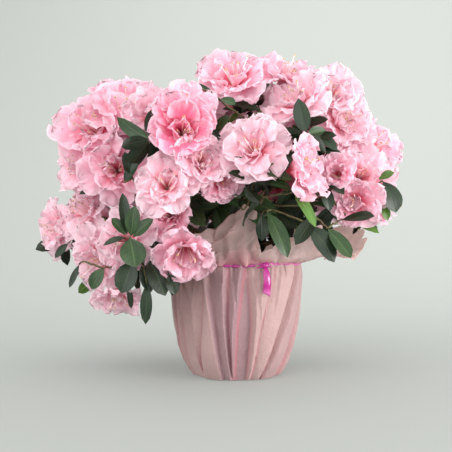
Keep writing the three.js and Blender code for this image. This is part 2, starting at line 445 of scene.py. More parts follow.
def chart_group() -> bpy.types.NodeTree:
    """A node group that reads where a point lies on its own petal or leaf.

    Returns:
        The group. Across runs from -1 to 1 over the width, Along from 0 at the foot to 1 at the
        tip, Streak is a fine pattern of veins that run out along it, and Cloud is a soft one.
    """
    name = "petal_chart"
    if name in bpy.data.node_groups:
        return bpy.data.node_groups[name]
    tree = bpy.data.node_groups.new(name, "ShaderNodeTree")
    for output in ("Across", "Along", "Streak", "Cloud"):
        tree.interface.new_socket(output, in_out="OUTPUT", socket_type="NodeSocketFloat")
    brush = Brush(tree)
    chart = brush.node("ShaderNodeUVMap", uv_map=CHART_MAP).outputs["UV"]
    parts = brush.node("ShaderNodeSeparateXYZ", {0: chart})
    shares = []
    for socket, tiles in zip(parts.outputs, CHART_TILES):
        inner = brush.math("FRACT", brush.times(socket, float(tiles)))
        shares.append(brush.math("DIVIDE", brush.math("SUBTRACT", inner, CHART_MARGIN), 1 - 2 * CHART_MARGIN))
    across = brush.math("SUBTRACT", brush.times(shares[0], 2.0), 1.0)
    streak = brush.noise(brush.stretched(chart, (95.0, 4.0, 1.0)), 1.0, 2.0)
    cloud = brush.noise(brush.stretched(chart, (14.0, 9.0, 1.0)), 1.0, 3.0)
    end = brush.node("NodeGroupOutput")
    for socket, value in zip(end.inputs, (across, shares[1], streak, cloud)):
        brush.feed(socket, value)
    return tree


@dataclass(frozen=True)
class PetalFinish:
    """A petal: coral at the tube, rose in the throat, and paler towards its ruffled edge."""

    name: str
    foot: Colour
    throat: Colour
    middle: Colour
    edge: Colour
    light_through: float = 0.5
    roughness: float = 0.62

    def material(self) -> Material:
        """Builds the material on the petal's own chart.

        Returns:
            The material.
        """
        material, brush = new_material(
            self.name, self.roughness, Sheen_Weight=0.12, Sheen_Roughness=0.4, Specular_IOR_Level=0.22
        )
        chart = brush.chart()
        wander = brush.times(brush.math("SUBTRACT", chart["Cloud"], 0.5), 0.16)
        along = brush.math("ADD", chart["Along"], wander)
        side = brush.math("ABSOLUTE", chart["Across"])
        tube_end = brush.between(along, 0.1, 0.34)
        throat_end = brush.between(along, 0.36, 0.72)
        margin = brush.math("MAXIMUM", brush.between(side, 0.45, 1.0), brush.between(along, 0.72, 1.0))
        colour = brush.blend(tube_end, self.foot, self.throat)
        colour = brush.blend(throat_end, colour, self.middle)
        blush = brush.times(margin, throat_end)
        colour = brush.blend(blush, colour, self.edge)
        veins = brush.between(chart["Streak"], 0.42, 0.7)
        deeper = brush.times(veins, 0.22)
        colour = brush.blend(deeper, colour, self.throat)
        relief = brush.math("ADD", chart["Streak"], brush.times(chart["Cloud"], 0.8))
        brush.paint(colour, brush.bump(relief, 0.35, 0.0006))
        brush.let_light_through(colour, self.light_through)
        return material


@dataclass(frozen=True)
class LeafFinish:
    """A leaf: satin green, its midrib and side veins paler and sunk."""

    name: str
    blade: Colour
    shade: Colour
    vein: Colour
    roughness: float = 0.4

    def material(self) -> Material:
        """Builds the material on the leaf's own chart.

        Returns:
            The material.
        """
        material, brush = new_material(self.name, self.roughness, Specular_IOR_Level=0.36)
        chart = brush.chart()
        side = brush.math("ABSOLUTE", chart["Across"])
        midrib = brush.math("SUBTRACT", 1.0, brush.between(side, 0.02, 0.1))
        slant = brush.math("SUBTRACT", chart["Along"], brush.times(side, 0.22))
        wave = brush.math("SINE", brush.times(slant, 46.0))
        ribs = brush.times(brush.between(wave, 0.82, 1.0), brush.between(side, 1.0, 0.7))
        veins = brush.math("MAXIMUM", midrib, brush.times(ribs, 0.35))
        colour = brush.blend(brush.between(chart["Cloud"], 0.3, 0.72), self.blade, self.shade)
        colour = brush.blend(brush.times(veins, 0.55), colour, self.vein)
        rough = brush.math("ADD", self.roughness - 0.08, brush.times(chart["Cloud"], 0.2))
        height = brush.math("SUBTRACT", brush.times(chart["Cloud"], 0.5), veins)
        brush.paint(colour, brush.bump(height, 0.4, 0.0005), rough)
        return material


@dataclass(frozen=True)
class PlainFinish:
    """A soft plain finish for the flower's small parts, mottled a little."""

    name: str
    colour: Colour
    other: Colour
    roughness: float = 0.6

    def material(self) -> Material:
        """Builds the material on the piece's chart.

        Returns:
            The material.
        """
        material, brush = new_material(self.name, self.roughness)
        chart = brush.chart()
        brush.paint(brush.blend(brush.between(chart["Cloud"], 0.35, 0.65), self.colour, self.other))
        return material


@dataclass(frozen=True)
class BarkFinish:
    """Thin rough bark, grey brown with green showing on young twigs."""

    name: str
    ridge: Colour
    furrow: Colour
    young: Colour
    green_share: float

    def material(self) -> Material:
        """Builds the material on Object coordinates.

        Returns:
            The material.
        """
        material, brush = new_material(self.name, 0.82)
        place = brush.place()
        cracks = brush.noise(brush.stretched(place, (1.0, 1.0, 0.35)), 900.0, 4.0, 0.65)
        patches = brush.noise(place, 160.0, 3.0)
        colour = brush.blend(brush.between(cracks, 0.38, 0.62), self.furrow, self.ridge)
        green = brush.times(brush.between(patches, 0.4, 0.62), self.green_share)
        colour = brush.blend(green, colour, self.young)
        brush.paint(colour, brush.bump(cracks, 0.6, 0.0006))
        return material


@dataclass(frozen=True)
class PaperFinish:
    """Tissue paper: matt, fibrous and crinkled, red along its folds and mauve where it lies double; both are
    partly the paper's own and partly painted shade.
    """

    name: str
    sheet: Colour
    fold: Colour
    light_through: float
    # The layer colour is the mauve of doubled paper and of painted shade.
    layer: Colour = (0.21, 0.085, 0.11)
    fibre: Colour = (0.95, 0.9, 0.88)

    def material(self) -> Material:
        """Builds the material on Object coordinates and the fold and layer attributes.

        Returns:
            The material.
        """
        material, brush = new_material(self.name, 0.68, Sheen_Weight=0.15, Sheen_Roughness=0.5)
        place = brush.place()
        fibre = brush.noise(brush.stretched(place, (1.0, 1.0, 0.3)), 1500.0, 3.0, 0.7)
        crinkle = brush.noise(place, 110.0, 4.0, 0.6)
        soft = brush.noise(place, 22.0, 2.0)
        # Painted shade: the fold attribute reddens the wrap's valleys and the collar near the tie, partly as
        # doubled paper in the folds.
        fold_and_painted_shade = brush.math("MULTIPLY", brush.attribute("fold"), brush.between(soft, 0.2, 0.5), clamp=True)
        tone = brush.times(brush.between(crinkle, 0.35, 0.7), 0.2)
        # Painted shade: the layer attribute darkens the front of the wrap and of the collar, besides the
        # layered paper's own random tone.
        double = brush.math("MAXIMUM", brush.attribute("layer"), tone)
        colour = brush.blend(double, self.sheet, self.layer)
        colour = brush.blend(fold_and_painted_shade, colour, self.fold)
        colour = brush.blend(brush.times(fibre, 0.18), colour, self.fibre)
        height = brush.math("ADD", crinkle, brush.times(fibre, 0.12))
        brush.paint(colour, brush.bump(height, 0.55, 0.0022))
        brush.let_light_through(colour, self.light_through)
        return material


@dataclass(frozen=True)
class RibbonFinish:
    """Satin ribbon: fine lengthwise threads with a bright sheen, and a painted highlight."""

    name: str = "ribbon_satin"
    face: Colour = (0.38, 0.006, 0.19)
    deep: Colour = (0.3, 0.004, 0.15)
    # The colour of the painted highlight.
    painted_highlight: Colour = (0.9, 0.36, 0.68)

    def material(self) -> Material:
        """Builds the material on the ribbon's own chart.

        Returns:
            The material.
        """
        material, brush = new_material(
            self.name, 0.24, Sheen_Weight=0.5, Sheen_Roughness=0.25, Specular_IOR_Level=0.7
        )
        chart = brush.node("ShaderNodeUVMap", uv_map=CHART_MAP).outputs["UV"]
        thread = brush.noise(brush.stretched(chart, (70.0, 3.0, 1.0)), 1.0, 2.0)
        colour = brush.blend(brush.between(thread, 0.35, 0.65), self.deep, self.face)
        parts = brush.node("ShaderNodeSeparateXYZ", {0: chart})
        # Painted highlight: pale pink over 0.7 to 0.95 of the chart's second direction, towards the lower end
        # of each tail and over part of the band and the knot.
        painted_highlight = brush.times(brush.between(parts.outputs[1], 0.7, 0.95), 0.3)
        colour = brush.blend(painted_highlight, colour, self.painted_highlight)
        brush.paint(colour, brush.bump(thread, 0.3, 0.0002))
        return material


@dataclass(frozen=True)
class GrainFinish:
    """A plain ground with a grain in it, such as scuffed plastic or peat with pale fibres."""

    name: str
    ground: Colour
    grain: Colour
    roughness: float
    scale: float
    spread: tuple[float, float]
    relief: tuple[float, float]

    def material(self) -> Material:
        """Builds the material on Object coordinates.

        Returns:
            The material.
        """
        material, brush = new_material(self.name, self.roughness)
        grain = brush.noise(brush.place(), self.scale, 5.0, 0.7)
        colour = brush.blend(brush.between(grain, *self.spread), self.ground, self.grain)
        brush.paint(colour, brush.bump(grain, *self.relief))
        return material


class Tone(Enum):
    """How deep a bloom's pink is: the place of its finish in the palette."""

    PALE = 0
    ROSE = 1
    DEEP = 2


PALE, ROSE, DEEP = Tone


class Green(Enum):
    """How light a leaf is: the place of its finish in the palette."""

    DARK = 0
    MID = 1
    BRIGHT = 2


DARK, MID, BRIGHT = Green


@dataclass
class Palette:
    """Every material that the plant's small parts share."""

    petals: list[Material]
    leaves: list[Material]
    twigs: list[Material]

    @classmethod
    def mixed(cls) -> "Palette":
        """Builds the palette. A blossom's slots are the three tones, filament, anther and calyx.

        Returns:
            The palette.
        """
        petals = [
            PetalFinish(
                "petal_pale", (0.8, 0.46, 0.24), (0.93, 0.3, 0.39), (0.98, 0.67, 0.77), (0.985, 0.8, 0.87)
            ),
            PetalFinish(
                "petal_rose", (0.74, 0.36, 0.2), (0.9, 0.17, 0.29), (0.975, 0.55, 0.68), (0.985, 0.75, 0.84)
            ),
            PetalFinish(
                "petal_deep", (0.6, 0.2, 0.1), (0.76, 0.04, 0.16), (0.94, 0.28, 0.45), (0.985, 0.68, 0.79)
            ),
            PlainFinish("filament", (0.95, 0.66, 0.64), (0.97, 0.82, 0.78)),
            PlainFinish("anther", (0.74, 0.5, 0.2), (0.5, 0.3, 0.12)),
            PlainFinish("calyx", (0.2, 0.3, 0.07), (0.34, 0.37, 0.1)),
        ]
        leaves = [
            LeafFinish("leaf_dark", (0.01, 0.024, 0.008), (0.005, 0.013, 0.005), (0.032, 0.06, 0.02)),
            LeafFinish("leaf_mid", (0.022, 0.055, 0.013), (0.011, 0.03, 0.009), (0.07, 0.12, 0.034)),
            LeafFinish("leaf_bright", (0.07, 0.16, 0.02), (0.04, 0.1, 0.014), (0.16, 0.26, 0.05)),
        ]
        twigs = [
            BarkFinish("twig_bark", (0.12, 0.075, 0.035), (0.045, 0.028, 0.014), (0.1, 0.14, 0.04), 0.6),
        ]
        made = [[finish.material() for finish in group] for group in (petals, leaves, twigs)]
        return cls(*made)


# Blossom


@dataclass(frozen=True)
class PetalCut:
    """How one whorl of petals is cut and how it stands, in metres and degrees."""

    count: int
    length: float
    half_width: float
    open_angle: float
    ruffle: float
    waves: float
    rows: int
    columns: int
    widest: float = 0.74
    curl: float = 12.0
    cup: float = 0.045
    foot_radius: float = 0.0016
    foot_angle: float = 7.0
    flare: tuple[float, float] = (0.16, 0.66)
    spread: float = 7.0
    twist: float = 14.0
    teeth: tuple[float, float] = (-0.0026, 0.0013)

    def petal(self, turn: float, random: Random, five: bool = True) -> Patch:
        """Lays one petal round the bloom's axis, which is +Z.

        Args:
            turn: its direction about the axis, in radians.
            random: the source of its own waves.
            five: whether its foot joins its neighbours' in a tube.

        Returns:
            The petal's patch, its foot at the origin.
        """
        along = np.linspace(0.0, 1.0, self.rows + 1)
        across = np.linspace(-1.0, 1.0, self.columns + 1)
        step = self.length / self.rows * random.uniform(0.9, 1.06)
        opening = self.open_angle + random.uniform(-self.spread, self.spread)
        lean = mix(self.foot_angle, opening, smoothstep(along, *self.flare))
        lean = np.radians(lean + self.curl * random.uniform(0.2, 1.8) * smoothstep(along, 0.7, 1.0))
        radius, height = walk(lean, step)
        radius = self.foot_radius + radius
        rise = smoothstep(along, 0.05, self.widest)
        width = self._width(along, rise, radius if five else None, random)

        wrap = (radius * (1 - rise) + rise * self.cup)[:, None]
        offset = across[None, :] * width[:, None]
        sideways = wrap * np.sin(offset / wrap)
        inward = wrap * (1 - np.cos(offset / wrap))
        lift = self._ruffle(across[None, :], along[:, None], random) + inward
        teeth = random.uniform(*self.teeth, self.columns + 1)
        stretch = teeth[None, :] * smoothstep(along, 0.86, 1.0)[:, None]
        twist = math.radians(random.uniform(-self.twist, self.twist)) * smoothstep(along, 0.55, 1.0)[:, None]

        lean = lean[:, None]
        side = sideways * np.cos(twist) - lift * np.sin(twist) * 0.6
        lift = lift * np.cos(twist) + sideways * np.sin(twist)
        out = radius[:, None] - np.cos(lean) * lift + np.sin(lean) * stretch
        rising = height[:, None] + np.sin(lean) * lift + np.cos(lean) * stretch
        turned = (
            out * math.cos(turn) - side * math.sin(turn),
            out * math.sin(turn) + side * math.cos(turn),
            rising,
        )
        return sheet(np.stack(turned, axis=-1), across * 0.5 + 0.5, along)

    def _width(self, along: Array, rise: Array, radius: Array | None, random: Random) -> Array:
        """The half width of each row of the petal.

        Args:
            along: each row's place, from 0 to 1.
            rise: how far it has widened from its foot, from 0 to 1.
            radius: the tube's radius there, which it has to fit, or none where it stands free.
            random: the source of its own outline.

        Returns:
            The half widths in metres.
        """
        beyond = np.clip((along - self.widest) / (1 - self.widest), 0.0, 0.985)
        width = self.half_width * random.uniform(0.93, 1.07) * np.sqrt(1 - beyond**2.3)
        width = width * mix(0.1, 1.0, rise)
        if radius is not None:
            width = np.minimum(width, radius * math.pi / self.count * mix(1.25, 1.9, rise))
        return width * (1 + random.uniform(-0.08, 0.07, self.rows + 1) * smoothstep(along, 0.4, 0.6))

    def _ruffle(self, across: Array, along: Array, random: Random) -> Array:
        """How far the petal's own waves lift it: not at its foot, and most at its edge.

        Args:
            across: each column's place, from -1 to 1, in one row.
            along: each row's place, from 0 to 1, in one column.
            random: the source of the waves.

        Returns:
            The lift of each point in metres.
        """
        margin = np.clip(np.abs(across) ** 2.2 + smoothstep(along, 0.55, 1.0) ** 1.6, 0.0, 1.0)
        margin = margin * smoothstep(along, 0.22, 0.55)
        fringe = np.clip(margin * 1.4 - 0.4, 0, 1)
        bearing = np.arctan2(across * self.half_width, (along - self.widest + 0.12) * self.length)
        phases = random.uniform(0.0, 2 * math.pi, 6)
        pitch = self.waves * random.uniform(0.85, 1.2)
        waves = 0.6 * np.sin(pitch * bearing + phases[0])
        waves = waves + 0.52 * np.sin(1.9 * pitch * bearing + phases[1] + 3 * along)
        waves = waves + 0.4 * fringe * np.sin(4.3 * pitch * bearing + phases[2])
        billow = np.sin(2.2 * across + phases[3]) * np.sin(4.2 * along + phases[4])
        fold = -0.5 * np.exp(-((across / 0.3) ** 2)) * smoothstep(along, 0.3, 0.7)
        return self.ruffle * (waves * margin + (0.35 * billow + fold) * smoothstep(along, 0.3, 0.8))


class BloomKind(Enum):
    """How far a bloom has opened: its outer whorl, its inner one and its heart, in degrees."""

    OPEN = (84.0, 60.0, 34.0)
    CUP = (60.0, 44.0, 26.0)
    HALF = (40.0, 28.0, 16.0)


OPEN, CUP, HALF = BloomKind


@dataclass(frozen=True)
class Bloom:
    """A double azalea flower, its throat at the origin, facing +Z."""

    fine: bool = False
    across: float = 0.076
    tube_height: float = 0.027
    outer_length: float = 0.058
    outer_half_width: float = 0.0215
    stamens: int = 7

    def whorls(self, kind: BloomKind) -> list[PetalCut]:
        """The petal whorls from the outside in.

        Args:
            kind: how far the bloom has opened.

        Returns:
            Five outer petals, five inner ones and a ruffled heart.
        """
        outer, inner, heart = kind.value
        rows, columns = (22, 34) if self.fine else (14, 16)
        length, half_width = self.outer_length, self.outer_half_width
        return [
            PetalCut(5, length, half_width, outer, 0.004, 4.2, rows, columns, spread=13.0),
            PetalCut(
                5, length * 0.87, half_width * 0.84, inner, 0.0038, 4.2,
                rows - 3, columns - 4, spread=16.0, foot_radius=0.0012, curl=18.0,
            ),
            PetalCut(
                6, length * 0.68, half_width * 0.48, heart, 0.0032, 3.6,
                rows // 2 + 2, columns // 2, spread=20.0, foot_radius=0.0009, widest=0.8, cup=0.014,
            ),
        ]

    def grow(self, into: Gathering, flower: "Flower", random: Random) -> Array:
        """Adds one bloom to a gathering of blossom.

        Args:
            into: the gathering.
            flower: its place, and what it is like.
            random: the source of its own waves.

        Returns:
            Where its stalk joins the foot of the tube.
        """
        scale = flower.width / self.across
        turn = frame_along(flower.faces, random.uniform(0, 2 * math.pi))
        foot = flower.at - turn[:, 2] * self.tube_height * scale
        spot = (turn, foot, scale)
        slot = flower.tone.value
        start = random.uniform(0, 2 * math.pi)
        for rank, cut in enumerate(self.whorls(flower.kind)):
            for place in range(cut.count):
                shake = random.uniform(-0.12, 0.12) * (1 + rank)
                bearing = start + (place + rank * 0.5) * 2 * math.pi / cut.count + shake
                patch = cut.petal(bearing, random, five=rank < 2)
                tile = PETAL_TILES * slot + int(random.integers(PETAL_TILES))
                into.add(patch.on_tile(tile).placed(*spot), slot)
        self._add_stamens(into, spot, random)
        self._add_calyx(into, spot)
        return foot

    def _add_stamens(self, into: Gathering, spot: Spot, random: Random) -> None:
        """Adds the arching filaments with their anthers, and the longer style.

        Args:
            into: the gathering.
            spot: where the foot of the tube is.
            random: the source of their lean.
        """
        for number in range(self.stamens + 1):
            style = number == self.stamens
            length = 0.047 if style else random.uniform(0.034, 0.043)
            bearing = random.uniform(0, 2 * math.pi)
            lean = math.radians(random.uniform(4, 20))
            out = np.array([math.cos(bearing), math.sin(bearing), 0.0])
            shares = np.linspace(0, 1, 5)[:, None]
            path = out * (length * math.sin(lean) * shares**1.6) + np.array([0, 0, length]) * shares
            radii = np.full(5, 0.00055 if style else 0.00042)
            into.add(tube(path, radii, 3).on_tile(FILAMENT_TILE).placed(*spot), FILAMENT)
            tip = path[-1] + np.array([[0, 0, -0.0008], [0, 0, 0.0], [0, 0, 0.0011], [0, 0, 0.0016]])
            fat = np.array([0.0003, 0.0008, 0.0007, 0.0001]) * (1.15 if style else 1.0)
            into.add(tube(tip, fat, 4).on_tile(ANTHER_TILE).placed(*spot), ANTHER)

    def _add_calyx(self, into: Gathering, spot: Spot) -> None:
        """Adds the small green cup at the foot of the tube."""
        path = np.array([[0, 0, -0.004], [0, 0, -0.0015], [0, 0, 0.001], [0, 0, 0.0035]])
        radii = np.array([0.0009, 0.0021, 0.0028, 0.0033])
        into.add(tube(path, radii, 8).on_tile(CALYX_TILE).placed(*spot), CALYX)


# Leaves


@dataclass(frozen=True)
class Leaf:
    """A leathery blade, broadest beyond its middle, that folds and arches a little."""

    rows: int = 7
    columns: int = 4

    def blade(self, length: float, half_width: float, arch: float, fold: float, random: Random) -> Patch:
        """Lays one leaf along +Z with its upper face towards +X.

        Args:
            length: from its foot to its tip.
            half_width: at its widest.
            arch: how far it bends back, in degrees.
            fold: how steeply its halves rise from the midrib, in degrees.
            random: the source of its own waves.

        Returns:
            The leaf's patch, its foot at the origin.
        """
        along = np.linspace(0.0, 1.0, self.rows + 1)
        across = np.linspace(-1.0, 1.0, self.columns + 1)
        outline = np.maximum(np.sin(math.pi * along**1.12) ** 0.56, 0.04)
        width = half_width * outline * mix(0.14, 1.0, smoothstep(along, 0.0, 0.2))
        bend = np.radians(arch) * (along - 0.3) * random.uniform(0.6, 1.5)
        forth, ahead = walk(bend, length / self.rows)
        offset = across[None, :] * width[:, None]
        rise = np.abs(offset) * math.sin(math.radians(fold))
        wave = np.sin(along[:, None] * random.uniform(5, 9) + random.uniform(0, 6) + across[None, :] * 1.5)
        rise = rise + wave * np.abs(offset) * 0.09
        lean = bend[:, None]
        arched = (
            rise * np.cos(lean) - forth[:, None],
            offset * math.cos(math.radians(fold) * 0.5),
            ahead[:, None] + rise * np.sin(lean),
        )
        return sheet(np.stack(arched, axis=-1), across * 0.5 + 0.5, along)


def add_leaf(
    into: Gathering, at: Array, towards: Array, face: Array, length: float, broad: float, green: Green,
    random: Random,
) -> None:
    """Adds one leaf to a gathering.

    Args:
        into: the gathering.
        at: where its stalk starts.
        towards: the direction in which it grows.
        face: the direction that its upper face looks, about.
        length: its length in metres.
        broad: its width against its length.
        green: how light it is.
        random: the source of its own waves.
    """
    ahead = unit(towards)
    out = unit(face - ahead * float(face @ ahead) + 1e-6)
    turn = np.stack([out, np.cross(ahead, out), ahead], axis=1)
    blade = Leaf().blade(length, length * broad / 2, random.uniform(10, 38), random.uniform(8, 24), random)
    tile = LEAF_TILES * green.value + int(random.integers(LEAF_TILES))
    into.add(blade.on_tile(tile).placed(turn, at), green.value)


# The crown


@dataclass(frozen=True)
class Perch:
    """Where a bloom sits: its place in its mass's box, where it faces, and what it is like."""

    at: Triple
    faces: Triple
    width: float = 0.076
    kind: BloomKind = OPEN
    tone: Tone = ROSE


@dataclass(frozen=True)
class Shoot:
    """Where a leafy shoot ends: its place in its mass's box, where it points, and its leaves."""

    at: Triple
    towards: Triple
    leaves: int = 6
    length: float = 0.04
    spread: float = 62.0
    greens: tuple[float, float] = (0.35, 0.08)


@dataclass(frozen=True)
class Blade:
    """Where one leaf grows by itself: its stalk's place in its mass's box, and how it lies."""

    at: Triple
    towards: Triple
    length: float
    broad: float = 0.45
    green: Green = DARK
    face: Triple = (0.1, -0.75, 0.6)


@dataclass(frozen=True)
class Mass:
    """One mass of the crown: twigs, leaves and blossom in place of its plain solid."""

    name: str
    perches: tuple[Perch, ...] = ()
    shoots: tuple[Shoot, ...] = ()
    blades: tuple[Blade, ...] = ()
    leafy: bool = False

    @property
    def node(self) -> str:
        """The CAD node that the mass stands for."""
        return f"mass_{self.name}"

    def place(self, share: Triple) -> Array:
        """The point at a share of the box along each direction."""
        low, size = box_of(self.node)
        return low + size * np.array(share)

    def holds(self, point: Array, scale: float) -> bool:
        """Whether a point lies in the mass, taken as a ball stretched to a share of its box."""
        low, size = box_of(self.node)
        return float(np.linalg.norm((point - low - size / 2) / (size / 2 * scale))) < 1

    def surface(self) -> list[tuple[Array, Array]]:
        """The middle and the outward normal of each face of the CAD node."""
        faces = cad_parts[self.node].data.polygons
        return [(np.array(face.center), np.array(face.normal)) for face in faces]


